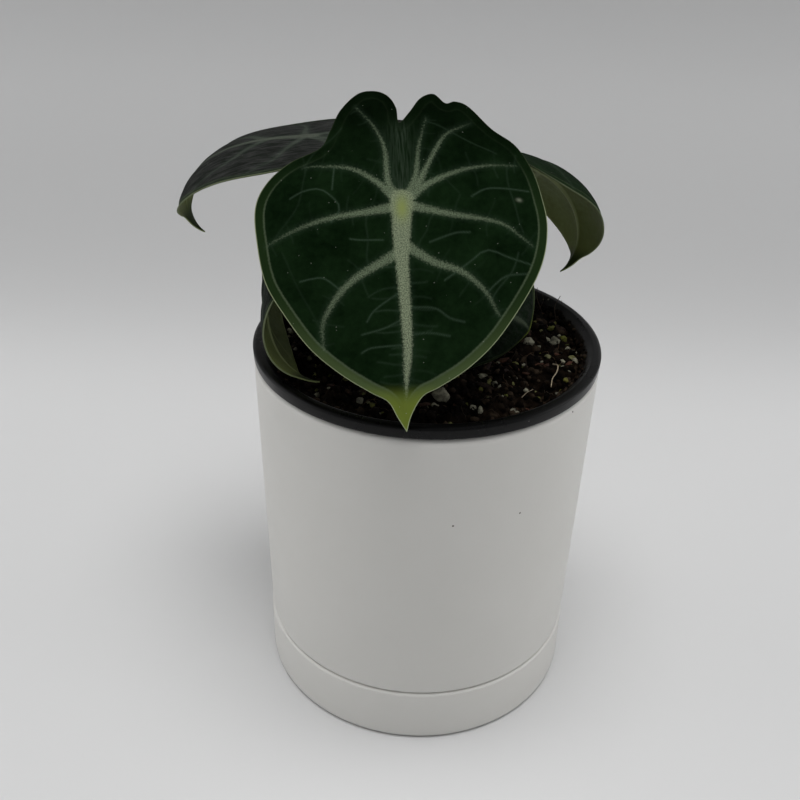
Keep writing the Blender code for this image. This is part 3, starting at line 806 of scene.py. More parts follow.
@dataclass(frozen=True)
class LeafBackFinish:
    """The blade's underside: smooth olive with paler raised ribs, and a yellow painted glow of light through
    the leaf towards the tip and along the margin.
    """

    olive: Colour = (0.158, 0.190, 0.084)
    deep: Colour = (0.088, 0.112, 0.032)
    rib: Colour = (0.310, 0.360, 0.180)
    # Painted glow at the margin, as of light through the leaf
    painted_rim_light: Colour = (0.24, 0.28, 0.16)
    # Painted glow: light through the leaf, yellow-green towards the tip
    painted_glow: Colour = (0.125, 0.152, 0.036)
    tip: Colour = (0.024, 0.036, 0.008)
    roughness: float = 0.50

    def material(self) -> Material:
        """Builds the material.

        Returns:
            The material.
        """
        graph = FinishGraph("leaf_back")
        place = graph.field("leaf_mm", "Vector")
        blotch = SharedEffect.MOTTLE.place(graph, place, Scale=0.09, Contrast=3.0)
        colour = graph.mix(blotch, self.olive, self.deep)
        colour = graph.over(colour, self.rib, graph.field("thread"), 0.35)
        # Painted glow along the margin
        painted_rim_light = graph.without(graph.between(graph.field("edge_gap"), 0.3, 1.3))
        colour = graph.over(colour, self.painted_rim_light, painted_rim_light, graph.field("rimmed"))
        # Painted glow towards the tip
        colour = graph.over(colour, self.painted_glow, graph.field("low"), 0.75)
        rib = SharedEffect.FEATHER.place(graph, place, Gap=graph.field("vein_gap"), Soft=0.8, Ragged=0.25)
        colour = graph.over(colour, self.rib, rib, graph.spread(graph.field("pale"), 0.45, 0.8))
        cells = graph.noise(place, 3.5, 3.0, 0.6)
        return graph.material(
            Base_Color=graph.over(colour, self.tip, graph.field("tip")),
            Roughness=graph.spread(cells, self.roughness - 0.08, self.roughness + 0.12),
            Normal=graph.bump(cells, 0.00015, 0.4),
            Specular_IOR_Level=0.03,
        )


@dataclass(frozen=True)
class PetioleFinish:
    """A fleshy leaf stalk: pale green with drawn darker flecks, browner at its foot."""

    green: Colour = (0.115, 0.150, 0.058)
    fleck: Colour = (0.050, 0.052, 0.030)
    foot: Colour = (0.150, 0.105, 0.060)
    roughness: float = 0.42

    def material(self) -> Material:
        """Builds the material.

        Returns:
            The material.
        """
        graph = FinishGraph("petiole")
        drawn = graph.scaled(graph.object_place(), (1.0, 1.0, 0.22))
        flecks = SharedEffect.MOTTLE.place(graph, drawn, Scale=900.0, Contrast=3.2)
        colour = graph.over(self.green, self.fleck, flecks, 0.75)
        return graph.material(
            Base_Color=graph.over(colour, self.foot, graph.field("foot")),
            Roughness=graph.spread(flecks, self.roughness, self.roughness + 0.15),
            Normal=graph.bump(flecks, 0.00008, 0.5),
            Specular_IOR_Level=0.45,
        )


@dataclass(frozen=True)
class HuskFinish:
    """The corm's dry papery husk, streaked along its length."""

    tan: Colour = (0.120, 0.078, 0.040)
    brown: Colour = (0.036, 0.022, 0.013)

    def material(self) -> Material:
        """Builds the material.

        Returns:
            The material.
        """
        graph = FinishGraph("husk")
        along = graph.scaled(graph.object_place(), (1.0, 1.0, 0.12))
        streaks = SharedEffect.MOTTLE.place(graph, along, Scale=1300.0, Contrast=3.0)
        return graph.material(
            Base_Color=graph.mix(streaks, self.tan, self.brown),
            Roughness=0.7,
            Normal=graph.bump(streaks, 0.00025, 0.8),
            Specular_IOR_Level=0.3,
        )


@dataclass(frozen=True)
class GrittyFinish:
    """Soil and what lies in it: three colours spread over the pieces by their tint, and a rough grain."""

    name: str
    colours: tuple[Colour, Colour, Colour]
    roughness: float
    grain: float
    depth: float
    shine: float

    def material(self) -> Material:
        """Builds the material.

        Returns:
            The material.
        """
        graph = FinishGraph(self.name)
        tint = graph.field("tint")
        first, second, third = self.colours
        colour = graph.mix(graph.between(tint, 0.15, 0.55), first, second)
        colour = graph.mix(graph.between(tint, 0.60, 0.90), colour, third)
        grain = SharedEffect.MOTTLE.place(graph, graph.object_place(), Scale=self.grain, Contrast=2.4)
        shading = {0: colour, "Scale": graph.spread(grain, 0.45, 1.35)}
        return graph.material(
            Base_Color=graph.add("ShaderNodeVectorMath", shading, operation="SCALE"),
            Roughness=graph.spread(grain, self.roughness - 0.15, self.roughness + 0.05),
            Normal=graph.bump(grain, self.depth, 0.9),
            Specular_IOR_Level=self.shine,
        )


PEAT_COLOURS = (0.0020, 0.0014, 0.0010), (0.0075, 0.0047, 0.0029), (0.036, 0.0255, 0.0170)
PERLITE_COLOURS = (0.25, 0.24, 0.18), (0.14, 0.135, 0.105), (0.15, 0.15, 0.06)
BARK_COLOURS = (0.036, 0.018, 0.012), (0.066, 0.030, 0.020), (0.022, 0.013, 0.010)
FIBRE_COLOURS = (0.060, 0.036, 0.020), (0.024, 0.016, 0.011), (0.40, 0.33, 0.23)
MOSS_COLOURS = (0.080, 0.088, 0.016), (0.13, 0.125, 0.03), (0.050, 0.060, 0.014)

PEAT = GrittyFinish("peat", PEAT_COLOURS, roughness=0.95, grain=700.0, depth=0.0004, shine=0.08)
PERLITE = GrittyFinish("perlite", PERLITE_COLOURS, roughness=0.9, grain=900.0, depth=0.0003, shine=0.15)
BARK = GrittyFinish("bark", BARK_COLOURS, roughness=0.8, grain=500.0, depth=0.0004, shine=0.2)
FIBRE = GrittyFinish("fibre", FIBRE_COLOURS, roughness=0.7, grain=600.0, depth=0.0001, shine=0.2)
MOSS = GrittyFinish("moss", MOSS_COLOURS, roughness=0.85, grain=900.0, depth=0.0002, shine=0.25)


# The leaves

# Half outlines in millimetres across and along from the junction, from the tip round to the cleft
HALF_OUTLINE = (
    (0.0, 61.6), (1.8, 57.5), (4.2, 53.5), (9.0, 50.8), (16.0, 46.7), (23.0, 41.3), (30.0, 32.7),
    (35.7, 22.2), (39.1, 10.0), (39.6, -1.0), (37.0, -10.5), (32.5, -18.0), (27.0, -24.0), (21.0, -30.0),
    (14.5, -34.5), (8.0, -35.8), (3.5, -33.5), (1.2, -29.5),
)
FRONT_LEFT_OUTLINE = (
    (0.0, 61.6), (2.3, 57.9), (4.8, 53.7), (9.5, 51.1), (17.2, 46.2), (24.9, 39.5), (31.5, 30.5),
    (36.8, 21.0), (39.1, 10.0), (39.6, -0.5), (36.5, -7.8), (30.1, -13.7), (21.8, -17.5), (19.0, -22.5),
    (16.0, -29.5), (11.1, -35.2), (6.3, -36.1), (2.7, -34.2), (0.6, -30.0),
)
FRONT_RIGHT_OUTLINE = (
    (0.0, 61.6), (1.4, 57.0), (4.4, 52.3), (8.8, 50.0), (16.9, 44.8), (25.3, 36.7), (34.2, 23.8),
    (38.8, 14.0), (40.5, 4.5), (39.5, -3.5), (37.0, -12.0), (32.5, -19.7), (26.2, -24.5), (20.0, -31.4),
    (16.1, -32.9), (13.2, -32.0), (10.0, -35.0), (6.2, -33.3), (3.0, -28.5),
)
SINUS = (0.0, -25.0)

# Main veins in millimetres across and along from the junction: route, then half-widths at equal steps
MIDRIB = (
    ((0.0, -1.0), (0.4, 13.0), (0.1, 22.0), (-0.6, 38.0), (-0.2, 47.0), (0.1, 53.5)),
    (2.2, 2.05, 1.45, 1.25, 1.1, 0.7, -0.2),
)
LEFT_VEINS = (
    (((1.0, -1.0), (3.6, -6.8), (4.1, -16.1), (6.6, -23.3), (11.7, -30.6)), (0.65, 0.35, 0.0, -0.35)),
    (((1.5, -1.5), (7.1, -6.9), (13.7, -10.8), (22.4, -12.0), (26.5, -12.0)), (0.70, 0.38, 0.05, -0.30)),
    (((1.0, 0.8), (8.6, 2.2), (19.3, 3.8), (28.7, 6.6), (36.6, 10.6)), (0.75, 0.50, 0.20, -0.20)),
    (((0.5, 13.6), (7.6, 17.7), (13.7, 21.6), (18.2, 26.6), (21.5, 33.2), (21.3, 39.8)),
     (0.8, 0.65, 0.38, -0.05)),
)
RIGHT_VEINS = (
    (((-1.5, -1.5), (-4.0, -8.4), (-5.2, -17.8), (-7.6, -26.8)), (0.65, 0.35, 0.0, -0.35)),
    (((-4.4, -5.6), (-9.6, -16.3), (-13.2, -22.0), (-19.9, -26.0)), (0.35, 0.2, -0.35)),
    (((-2.0, -2.0), (-7.8, -6.3), (-16.2, -10.4), (-24.8, -12.6), (-32.3, -13.1)), (0.70, 0.38, 0.05, -0.30)),
    (((-1.0, 0.3), (-12.8, 2.7), (-26.6, 4.6), (-32.1, 8.0), (-35.7, 10.9)), (0.75, 0.50, 0.20, -0.20)),
    (((-0.3, 11.8), (-8.3, 16.6), (-15.5, 19.0), (-21.6, 24.1), (-25.4, 30.8)), (0.8, 0.65, 0.38, -0.05)),
)
# Thin veins that show on the front blade
FRONT_THREADS = (
    ((5.3, 10.5), (11.1, 10.4), (14.0, 10.0)),
    ((19.0, 5.0), (16.6, 1.0), (19.2, -2.9), (22.4, -4.9), (26.5, -4.4), (30.0, -2.5)),
    ((18.0, -11.3), (18.3, -8.0), (18.6, -4.5)),
    ((-10.8, 21.6), (-17.7, 16.4), (-22.6, 12.9), (-28.9, 14.8), (-35.0, 16.5)),
    ((-7.1, 11.1), (-14.0, 8.4), (-18.1, 8.0)),
    ((-19.0, -2.5), (-23.0, -5.0), (-28.0, -5.6), (-35.5, -5.4)),
    ((9.9, 32.7), (7.8, 29.6), (1.5, 25.0)),
    ((11.4, 40.9), (8.8, 39.6), (0.8, 38.9)),
    ((11.3, 36.1), (5.3, 34.4), (0.8, 32.1)),
    ((-1.1, 28.9), (-7.9, 29.2), (-11.8, 31.8), (-15.8, 32.8)),
    ((-1.0, 36.3), (-6.5, 35.8), (-11.7, 36.6)),
    ((27.4, 21.3), (24.2, 20.7), (20.8, 20.8), (16.0, 24.6)),
    ((-21.8, 25.0), (-27.3, 20.2), (-33.7, 19.1)),
)


@dataclass(frozen=True)
class LeafPlan:
    """Where a blade's junction is, how the blade lies and bends, and its petiole's course.

    Angles are degrees, bends, twists and curls degrees for each centimetre, and places metres.
    """

    name: str
    junction: Place
    heading: float
    pitch: float
    roll: float
    scale: float
    bend: Place
    lobe_bend: float
    twist: Pair
    curl: Pair
    fold: float
    root: Pair
    petiole_drop: float
    petiole_lean: Pair
    left: tuple[Pair, ...] = HALF_OUTLINE
    right: tuple[Pair, ...] = HALF_OUTLINE
    threads: tuple = ()
    midrib_strength: float = 0.45
    vein_strength: float = 0.40
    heart: float = 0.0
    # Strength of the margin and of the painted rim light
    hem_strength: float = 0.45
    # Strength of the grey painted sheen, for leaves seen edge-on
    painted_sheen: float = 0.0
    upper_grid: tuple[int, int] = (640, 72)
    lower_grid: tuple[int, int] = (640, 60)
    scar: Pair | None = None


PLANS = (
    LeafPlan(
        name="leaf_front",
        junction=(-0.0081, -0.0222, 0.1739),
        heading=-84.1,
        pitch=-44.0,
        roll=0.0,
        scale=1.0,
        bend=(2.5, 0.0, 0.0),
        lobe_bend=3.0,
        twist=(0.0, 0.0),
        curl=(3.5, 0.0),
        fold=0.0,
        root=(-0.0062, 0.0048),
        petiole_drop=0.022,
        petiole_lean=(-0.004, 0.005),
        left=FRONT_LEFT_OUTLINE,
        right=FRONT_RIGHT_OUTLINE,
        threads=FRONT_THREADS,
        midrib_strength=1.0,
        vein_strength=1.0,
        heart=1.0,
        hem_strength=1.0,
        upper_grid=(672, 148),
        lower_grid=(672, 36),
        scar=(-32.5, -2.5),
    ),
    LeafPlan(
        name="leaf_left",
        junction=(-0.0398, 0.0282, 0.1766),
        heading=177.0,
        pitch=-6.0,
        roll=-6.0,
        scale=1.028,
        bend=(1.5, 9.5, 29.0),
        lobe_bend=1.7,
        twist=(0.7, 2.2),
        curl=(0.7, 2.8),
        fold=1.6,
        root=(-0.0020, 0.0088),
        petiole_drop=0.020,
        petiole_lean=(-0.004, 0.001),
        vein_strength=0.26,
        painted_sheen=0.72,
    ),
    LeafPlan(
        name="leaf_right",
        junction=(0.0240, 0.0279, 0.1709),
        heading=18.3,
        pitch=-13.6,
        roll=19.0,
        scale=0.832,
        bend=(14.5, 0.2, 36.7),
        lobe_bend=3.6,
        twist=(-2.3, 2.1),
        curl=(16.2, 3.9),
        fold=-15.0,
        root=(0.0050, 0.0070),
        petiole_drop=0.020,
        petiole_lean=(0.004, 0.003),
        midrib_strength=0.25,
        vein_strength=0.15,
        painted_sheen=0.12,
    ),
    LeafPlan(
        name="leaf_low_left",
        junction=(-0.0463, -0.0115, 0.1495),
        heading=255.8,
        pitch=-46.0,
        roll=-58.5,
        scale=0.683,
        bend=(10.3, 14.4, 28.4),
        lobe_bend=3.0,
        twist=(-11.7, 5.1),
        curl=(20.7, -8.6),
        fold=-10.9,
        root=(-0.0070, -0.0010),
        petiole_drop=0.014,
        petiole_lean=(-0.006, 0.000),
        painted_sheen=0.5,
        upper_grid=(512, 56),
        lower_grid=(512, 56),
    ),
    LeafPlan(
        name="leaf_low_right",
        junction=(0.0110, -0.0179, 0.1462),
        heading=0.4,
        pitch=-22.4,
        roll=-51.2,
        scale=0.599,
        bend=(17.1, 11.1, 7.9),
        lobe_bend=3.0,
        twist=(-4.6, -0.3),
        curl=(9.2, 1.6),
        fold=11.7,
        root=(0.0065, 0.0000),
        petiole_drop=0.010,
        petiole_lean=(0.000, 0.002),
        midrib_strength=0.22,
        vein_strength=0.12,
        painted_sheen=0.25,
        upper_grid=(512, 56),
        lower_grid=(512, 56),
    ),
)


class BentSheet:
    """The blade's middle surface: a midrib that bends and twists, and a cross section that folds and curls.

    The plan's bend, twist and curl are polynomials in the distance along the midrib over REACH, in degrees
    for each centimetre.
    """

    STEP = 0.0005
    AHEAD = 144
    BEHIND = 88
    REACH = 0.05
    CENTIMETRE = 0.01
    LEAST_CURL = 1e-3
    NUDGE = 0.0002

    def __init__(self, plan: LeafPlan) -> None:
        """Works out the midrib's frames.

        From the junction the direction turns away from the normal by the plan's bend, and the side turns
        about the direction by its twist, in short steps both ways.

        Args:
            plan: the leaf's plan.
        """
        self.plan = plan
        h, p, r = (math.radians(v) for v in (plan.heading, plan.pitch, plan.roll))
        ahead = np.array([math.cos(h) * math.cos(p), math.sin(h) * math.cos(p), math.sin(p)])
        flat_side = np.array([math.sin(h), -math.cos(h), 0.0])
        flat_normal = np.cross(flat_side, ahead)
        side = flat_side * math.cos(r) + flat_normal * math.sin(r)
        normal = flat_normal * math.cos(r) - flat_side * math.sin(r)
        start = [np.array(plan.junction), ahead, side, normal]
        behind, before = self.walk(start, -1, self.BEHIND), self.walk(start, 1, self.AHEAD)
        self.rows = np.array(behind[:0:-1] + before)

    def walk(self, start: list[np.ndarray], sign: int, count: int) -> list[np.ndarray]:
        """Follows the midrib one way from the junction.

        Args:
            start: the junction, and the direction, side and normal there.
            sign: 1 towards the tip, -1 towards the lobes.
            count: how many steps.

        Returns:
            A row for each point: distance, place, direction, side and normal.
        """
        plan = self.plan
        place, t, x, n = start
        rows = [np.concatenate([[0.0], place, t, x, n])]
        for i in range(count):
            middle = sign * (i + 0.5) * self.STEP / self.REACH
            bend = np.polyval(plan.bend[::-1], middle) if sign > 0 else plan.lobe_bend
            turn = math.radians(bend) * sign * self.STEP / self.CENTIMETRE
            twist = math.radians(plan.twist[0] + plan.twist[1] * middle) * sign * self.STEP / self.CENTIMETRE
            following = t * math.cos(turn) - n * math.sin(turn)
            n = n * math.cos(turn) + t * math.sin(turn)
            place = place + (t + following) * (sign * self.STEP / 2)
            t = following
            x, n = x * math.cos(twist) + n * math.sin(twist), n * math.cos(twist) - x * math.sin(twist)
            rows.append(np.concatenate([[sign * (i + 1) * self.STEP], place, t, x, n]))
        return rows

    def at(self, across: np.ndarray, along: np.ndarray) -> np.ndarray:
        """Places on the sheet.

        Across the midrib the sheet starts at the fold's angle and its slope grows by the curl, so it runs
        sideways by the difference of the slopes' sines over the curl and down by that of their cosines.

        Args:
            across: distance to the right of the midrib.
            along: distance ahead of the junction.

        Returns:
            One place for each pair.
        """
        rows = self.rows
        frame = np.stack([np.interp(along, rows[:, 0], rows[:, i]) for i in range(1, 13)], axis=-1)
        curl = np.radians(self.plan.curl[0] + self.plan.curl[1] * along / self.REACH) / self.CENTIMETRE
        curl = np.where(np.abs(curl) < self.LEAST_CURL, self.LEAST_CURL, curl)
        fold = math.radians(self.plan.fold)
        slope = fold + curl * np.abs(across)
        sideways = np.sign(across) * (np.sin(slope) - math.sin(fold)) / curl
        down = (math.cos(fold) - np.cos(slope)) / curl
        return frame[..., 0:3] + frame[..., 6:9] * sideways[..., None] - frame[..., 9:12] * down[..., None]

    def normals(self, across: np.ndarray, along: np.ndarray) -> np.ndarray:
        """The upper normals, from short steps across and along the sheet.

        Args:
            across: distance to the right of the midrib.
            along: distance ahead of the junction.

        Returns:
            One normal for each pair.
        """
        over = self.at(across + self.NUDGE, along) - self.at(across - self.NUDGE, along)
        ahead = self.at(across, along + self.NUDGE) - self.at(across, along - self.NUDGE)
        return unit(np.cross(over, ahead))


class VeinMap:
    """A blade's veins on its flat plan, in millimetres, and how far each point lies from them."""

    STEPS = 28
    FLARE = 0.75
    LEAST_WIDTH = 0.05
    THREAD_WIDTH = 0.23
    PLACED_LEVEL = 0.48
    COMBS_ON_VEINS = ((3.0, 8.0), 4, 0.3)
    COMB_ON_MIDRIB = ((5.0, 12.5), 12, 0.55)
    COMB_LEVELS = (0.14, 0.50)
    BETWEEN_LEVELS = (0.08, 0.26)
    CHUNK = 6000

    def __init__(self, plan: LeafPlan, draw: np.random.Generator) -> None:
        """Lays out the main veins, and threads between each neighbouring pair.

        Args:
            plan: the leaf's plan.
            draw: the leaf's own random numbers.
        """
        self.main = [MIDRIB, *LEFT_VEINS, *RIGHT_VEINS]
        self.threads = [(through(route, 12), self.PLACED_LEVEL) for route in plan.threads]
        sides = (LEFT_VEINS, RIGHT_VEINS[:1] + RIGHT_VEINS[2:])
        for hand, veins in zip((1, -1), sides):
            for first, second in zip(veins, veins[1:]):
                self.threads += self.between(first[0], second[0], 2, draw)
            for number, (route, _) in enumerate(veins):
                self.threads += self.comb(route, -hand, *self.COMBS_ON_VEINS, draw)
                if number:
                    self.threads += self.comb(route, hand, *self.COMBS_ON_VEINS, draw)
            self.threads += self.comb(MIDRIB[0], hand, *self.COMB_ON_MIDRIB, draw)

    @staticmethod
    def comb(
        route: tuple, hand: int, reach: Pair, count: int, level: float, draw: np.random.Generator
    ) -> list[tuple[np.ndarray, float]]:
        """Threads that leave a vein almost at right angles, closer together towards its end.

        Args:
            route: the vein's route.
            hand: 1 for the side of greater across when the vein runs ahead, -1 for the other.
            reach: least and greatest length.
            count: how many threads.
            level: how bright they are.
            draw: random numbers.

        Returns:
            Pairs of a route and its brightness.
        """
        line = through(route, 201)
        run = unit(np.gradient(line, axis=0))
        made = []
        for share in np.linspace(0.18, 0.96, count) ** 0.6:
            i = int(200 * np.clip(share + draw.uniform(-0.015, 0.015), 0, 1))
            square = np.array([run[i, 1], -run[i, 0]]) * hand
            length = draw.uniform(*reach) * (1.15 - 0.55 * share)
            t = np.linspace(0, 1, 8)[:, None]
            drift = draw.uniform(-0.15, 0.25) * t**2 + 0.03 * np.sin(5 * t + draw.uniform(0, 6))
            thread = line[i] + square * length * t + run[i] * drift * length
            made.append((thread, level * draw.uniform(*VeinMap.COMB_LEVELS)))
        return made

    @staticmethod
    def between(
        first: tuple, second: tuple, count: int, draw: np.random.Generator
    ) -> list[tuple[np.ndarray, float]]:
        """Threads from one vein towards the next, sagging outwards, some of them fading on the way.

        Args:
            first: the first vein's route.
            second: the second's.
            count: how many threads.
            draw: random numbers.

        Returns:
            Pairs of a route and its brightness.
        """
        a, b = through(first, 101), through(second, 101)
        made = []
        for share in np.linspace(0.22, 0.95, count):
            start = a[int(100 * np.clip(share + draw.uniform(-0.04, 0.04), 0, 1))]
            end = b[int(100 * np.clip(share + draw.uniform(-0.10, 0.10), 0, 1))]
            if draw.random() < 0.5:
                start, end = end, start
            t = np.linspace(0, draw.uniform(0.45, 1.0), 9)[:, None]
            line = start + (end - start) * t
            square = np.array([end[1] - start[1], start[0] - end[0]]) / max(np.linalg.norm(end - start), 1.0)
            sag = np.sin(math.pi * t) * draw.uniform(-2.2, 2.2)
            sag = sag + np.sin(3 * math.pi * t) * draw.uniform(-0.5, 0.5)
            made.append((line + square * sag, draw.uniform(*VeinMap.BETWEEN_LEVELS)))
        return made

    @staticmethod
    def nearness(points: np.ndarray, starts: np.ndarray, ends: np.ndarray) -> tuple[np.ndarray, np.ndarray]:
        """Each point's distance from each straight piece, and how far along the piece its foot lies.

        Args:
            points: n places.
            starts: m starts of pieces.
            ends: their ends.

        Returns:
            Two arrays of n by m.
        """
        points, starts, ends = (v.astype(np.float32) for v in (points, starts, ends))
        run = ends - starts
        away = points[:, None] - starts[None]
        share = np.clip((away * run).sum(-1) / (run * run).sum(-1), 0.0, 1.0)
        return np.linalg.norm(away - share[..., None] * run, axis=-1), share

    @staticmethod
    def pieces(lines: list[np.ndarray]) -> tuple[np.ndarray, np.ndarray]:
        """The starts and the ends of all the lines' straight pieces."""
        return np.concatenate([line[:-1] for line in lines]), np.concatenate([line[1:] for line in lines])

    def fields(self, places: np.ndarray, outline: np.ndarray) -> dict[str, np.ndarray]:
        """Values that the finishes and the relief read, for places on the flat plan.

        A vein's half-width follows its listed widths, with a flare that falls off quickly from its root.
        All veins but the midrib fade as the square of the way along them.

        Args:
            places: points in millimetres, across and along.
            outline: the blade's outline in the same units.

        Returns:
            vein_gap, the distance past the nearest main vein's side; rib, that vein's half-width there; pale,
            1 on the midrib; thread, the brightness of thin veins; edge_gap, the distance inside the outline;
            dim, how far the vein has faded towards its end.
        """
        t = np.linspace(0, 1, self.STEPS)
        flare = self.FLARE * np.exp(-9 * t)
        lines = [through(route, self.STEPS) for route, _ in self.main]
        widths = [np.interp(t, np.linspace(0, 1, len(wide)), wide) + flare for _, wide in self.main]
        along_midrib = self.STEPS - 1
        dimming = np.concatenate([np.zeros(along_midrib)] + [0.5 * t[:-1] ** 2] * (len(lines) - 1))
        (a, b), (wide_a, wide_b) = self.pieces(lines), self.pieces(widths)
        thin_a, thin_b = self.pieces([line for line, _ in self.threads])
        glow = np.concatenate([np.full(len(line) - 1, level) for line, level in self.threads])
        parts = []
        for chunk in np.array_split(places, max(1, len(places) // self.CHUNK)):
            apart, share = self.nearness(chunk, a, b)
            wide = wide_a + (wide_b - wide_a) * share
            gap = apart - wide
            nearest = gap.argmin(axis=1)
            rows = np.arange(len(chunk))
            pale = 1 - smoothstep(-0.2, 1.0, gap[:, :along_midrib].min(axis=1))
            thin, _ = self.nearness(chunk, thin_a, thin_b)
            thread = (glow * bell(thin, self.THREAD_WIDTH)).max(axis=1)
            edge = self.nearness(chunk, outline, np.roll(outline, -1, axis=0))[0].min(axis=1)
            values = gap[rows, nearest], wide[rows, nearest], pale, thread, edge, dimming[nearest]
            parts.append(np.stack(values, axis=1))
        fields = dict(zip(("vein_gap", "rib", "pale", "thread", "edge_gap", "dim"), np.vstack(parts).T))
        fields["rib"] = np.maximum(fields["rib"], self.LEAST_WIDTH)
        return fields


class Leaf:
    """One leaf: its blade, closed and in relief on both faces, and its petiole.

    The blade's thicknesses and reliefs are metres on a blade of scale 1, where a name doesn't say MM.
    """

    WAVE = 0.00022
    WAVES = 7
    HALF_THICKNESS = 0.0004
    EDGE_HALF_THICKNESS = 0.00022
    SWELL = 0.00024
    SWELL_WIDTH_MM = 5.5
    VEIN_HOLLOW = 0.00008
    HOLLOW_WIDTH_MM = 0.9
    THREAD_HOLLOW = 0.00005
    UPPER_SINK = 0.00023
    RIPPLE = 0.00005
    RIPPLE_SIZE_MM = 3.5
    THREAD_RIDGE = 0.00012
    GREATEST_RIDGE_MM = 0.6
    RIM_BULGE = 0.000005
    PETIOLE_TOP = 0.0015
    PETIOLE_FOOT = 0.0021
    PETIOLE_SIDES = 28
    COLLAR_HEIGHT = 0.004
    JUNCTION_DEPTH = 0.0012
    CLEFT = (np.array([[0.0, -3.0]]), np.array([[0.0, -22.0]]))

    def __init__(self, plan: LeafPlan, number: int) -> None:
        """Takes the plan and works out the outline on it.

        Args:
            plan: the leaf's plan.
            number: its place in the list, which seeds its veins.
        """
        self.plan = plan
        self.sheet = BentSheet(plan)
        self.veins = VeinMap(plan, np.random.default_rng(SEED + number))
        self.loop = [*plan.left, SINUS, *((-a, b) for a, b in reversed(plan.right))]

    def upper_relief(self, places: np.ndarray, fields: dict[str, np.ndarray]) -> np.ndarray:
        """The upper face's relief: the blade swells between sunken veins and ripples a little.

        Args:
            places: points on the flat plan in millimetres.
            fields: the vein map's values there.

        Returns:
            Heights in metres, at most zero.
        """
        inside, edge = np.clip(fields["vein_gap"], 0.0, None), fields["edge_gap"]
        swell = smoothstep(0.0, self.SWELL_WIDTH_MM, inside) * smoothstep(0.0, 4.0, edge)
        relief = self.SWELL * (swell - 1) - self.VEIN_HOLLOW * bell(inside, self.HOLLOW_WIDTH_MM)
        relief -= self.THREAD_HOLLOW * fields["thread"]
        ripple = value_noise(np.c_[places, np.zeros(len(places))], self.RIPPLE_SIZE_MM, 5)
        relief -= self.UPPER_SINK + self.RIPPLE * (1 + ripple)
        return relief * smoothstep(0.0, 2.0, edge)

    def lower_relief(self, fields: dict[str, np.ndarray]) -> np.ndarray:
        """The lower face's relief: ribs stand out as rounded ridges, higher where the vein is wider.

        Args:
            fields: the vein map's values.

        Returns:
            Heights in metres.
        """
        rib = fields["rib"]
        ridge = bell(np.clip(fields["vein_gap"] + rib, 0, None), 0.75 * rib + 0.2)
        height = np.minimum(0.20 + 0.28 * rib, self.GREATEST_RIDGE_MM) * MM
        relief = ridge * height + self.THREAD_RIDGE * fields["thread"]
        return relief * smoothstep(-0.2, 1.5, fields["edge_gap"])

    def paint(self, places: np.ndarray, fields: dict[str, np.ndarray]) -> dict[str, np.ndarray]:
        """The values that the finishes read at a face's points.

        Args:
            places: points on the flat plan in millimetres.
            fields: the vein map's values there.

        Returns:
            vein_gap, thread, pale and edge_gap as they are; rimmed, the strength of margin and painted rim
            light; shown, that of the main veins; low, 1 towards the tip; leaf_mm, the place, with another
            third number for each leaf; and the grey painted sheen, heart, tip, cleft and scar, the strengths
            of those colours; cleft is painted sheen between the lobes.
        """
        plan = self.plan
        x, y = places.T
        strength = plan.vein_strength + (plan.midrib_strength - plan.vein_strength) * fields["pale"]
        # Distance from the cleft, where the painted sheen between the lobes lies
        cleft = VeinMap.nearness(places, *self.CLEFT)[0][:, 0]
        scar = np.zeros(len(places))
        if plan.scar:
            scar = 0.8 * bell(x - plan.scar[0], 0.75) * bell(y - plan.scar[1], 0.5)
        return {
            **{key: fields[key] for key in ("vein_gap", "thread", "pale", "edge_gap")},
            # Fades the margin and the painted rim light towards the lobes
            "rimmed": plan.hem_strength * (smoothstep(-18.0, 6.0, y) * 0.95 + 0.05),
            "shown": (1 - fields["dim"]) * strength,
            "low": smoothstep(22.0, 54.0, y),
            "leaf_mm": np.c_[places, np.full(len(places), 40.0 * plan.scale)],
            "painted_sheen": np.full(len(places), plan.painted_sheen),
            "heart": plan.heart * bell(x, 1.7) * bell(y - 1.2, 3.4),
            "tip": smoothstep(48.5, 55.0, y),
            "cleft": 0.75 * bell(cleft, 3.2),
            "scar": scar,
        }

    def face(self, grid: tuple[int, int], side: int) -> tuple[Surface, np.ndarray]:
        """One face of the blade.

        The point on spoke k of a ring lies the ring's share of the way from the junction to the outline's
        k-th point. It is lifted off the middle surface by the margin's waves, by half the blade's
        thickness, which thins to the edge, and by the face's relief.

        Args:
            grid: points on the outermost ring, and rings.
            side: 1 for the upper face, -1 for the lower.

        Returns:
            The surface and its edge's point numbers.
        """
        rings = RingGrid(*grid)
        places = rings.share[:, None] * through(self.loop, rings.outer + 1)[:-1][rings.spoke]
        fields = self.veins.fields(places, through(self.loop, 420)[:-1])
        across, along = (places * MM * self.plan.scale).T
        angle = np.arctan2(places[:, 0], places[:, 1])
        wave = self.WAVE * np.sin(self.WAVES * angle + 9 * self.plan.scale) * rings.share**3
        thick = smoothstep(0.0, 3.0, fields["edge_gap"])
        half = self.EDGE_HALF_THICKNESS + (self.HALF_THICKNESS - self.EDGE_HALF_THICKNESS) * thick
        relief = self.upper_relief(places, fields) if side > 0 else self.lower_relief(fields)
        lift = wave + side * (half + relief * self.plan.scale)
        points = self.sheet.at(across, along) + self.sheet.normals(across, along) * lift[:, None]
        faces = rings.faces()[:, ::-side]
        return Surface(points, faces, self.paint(places, fields)), rings.edge

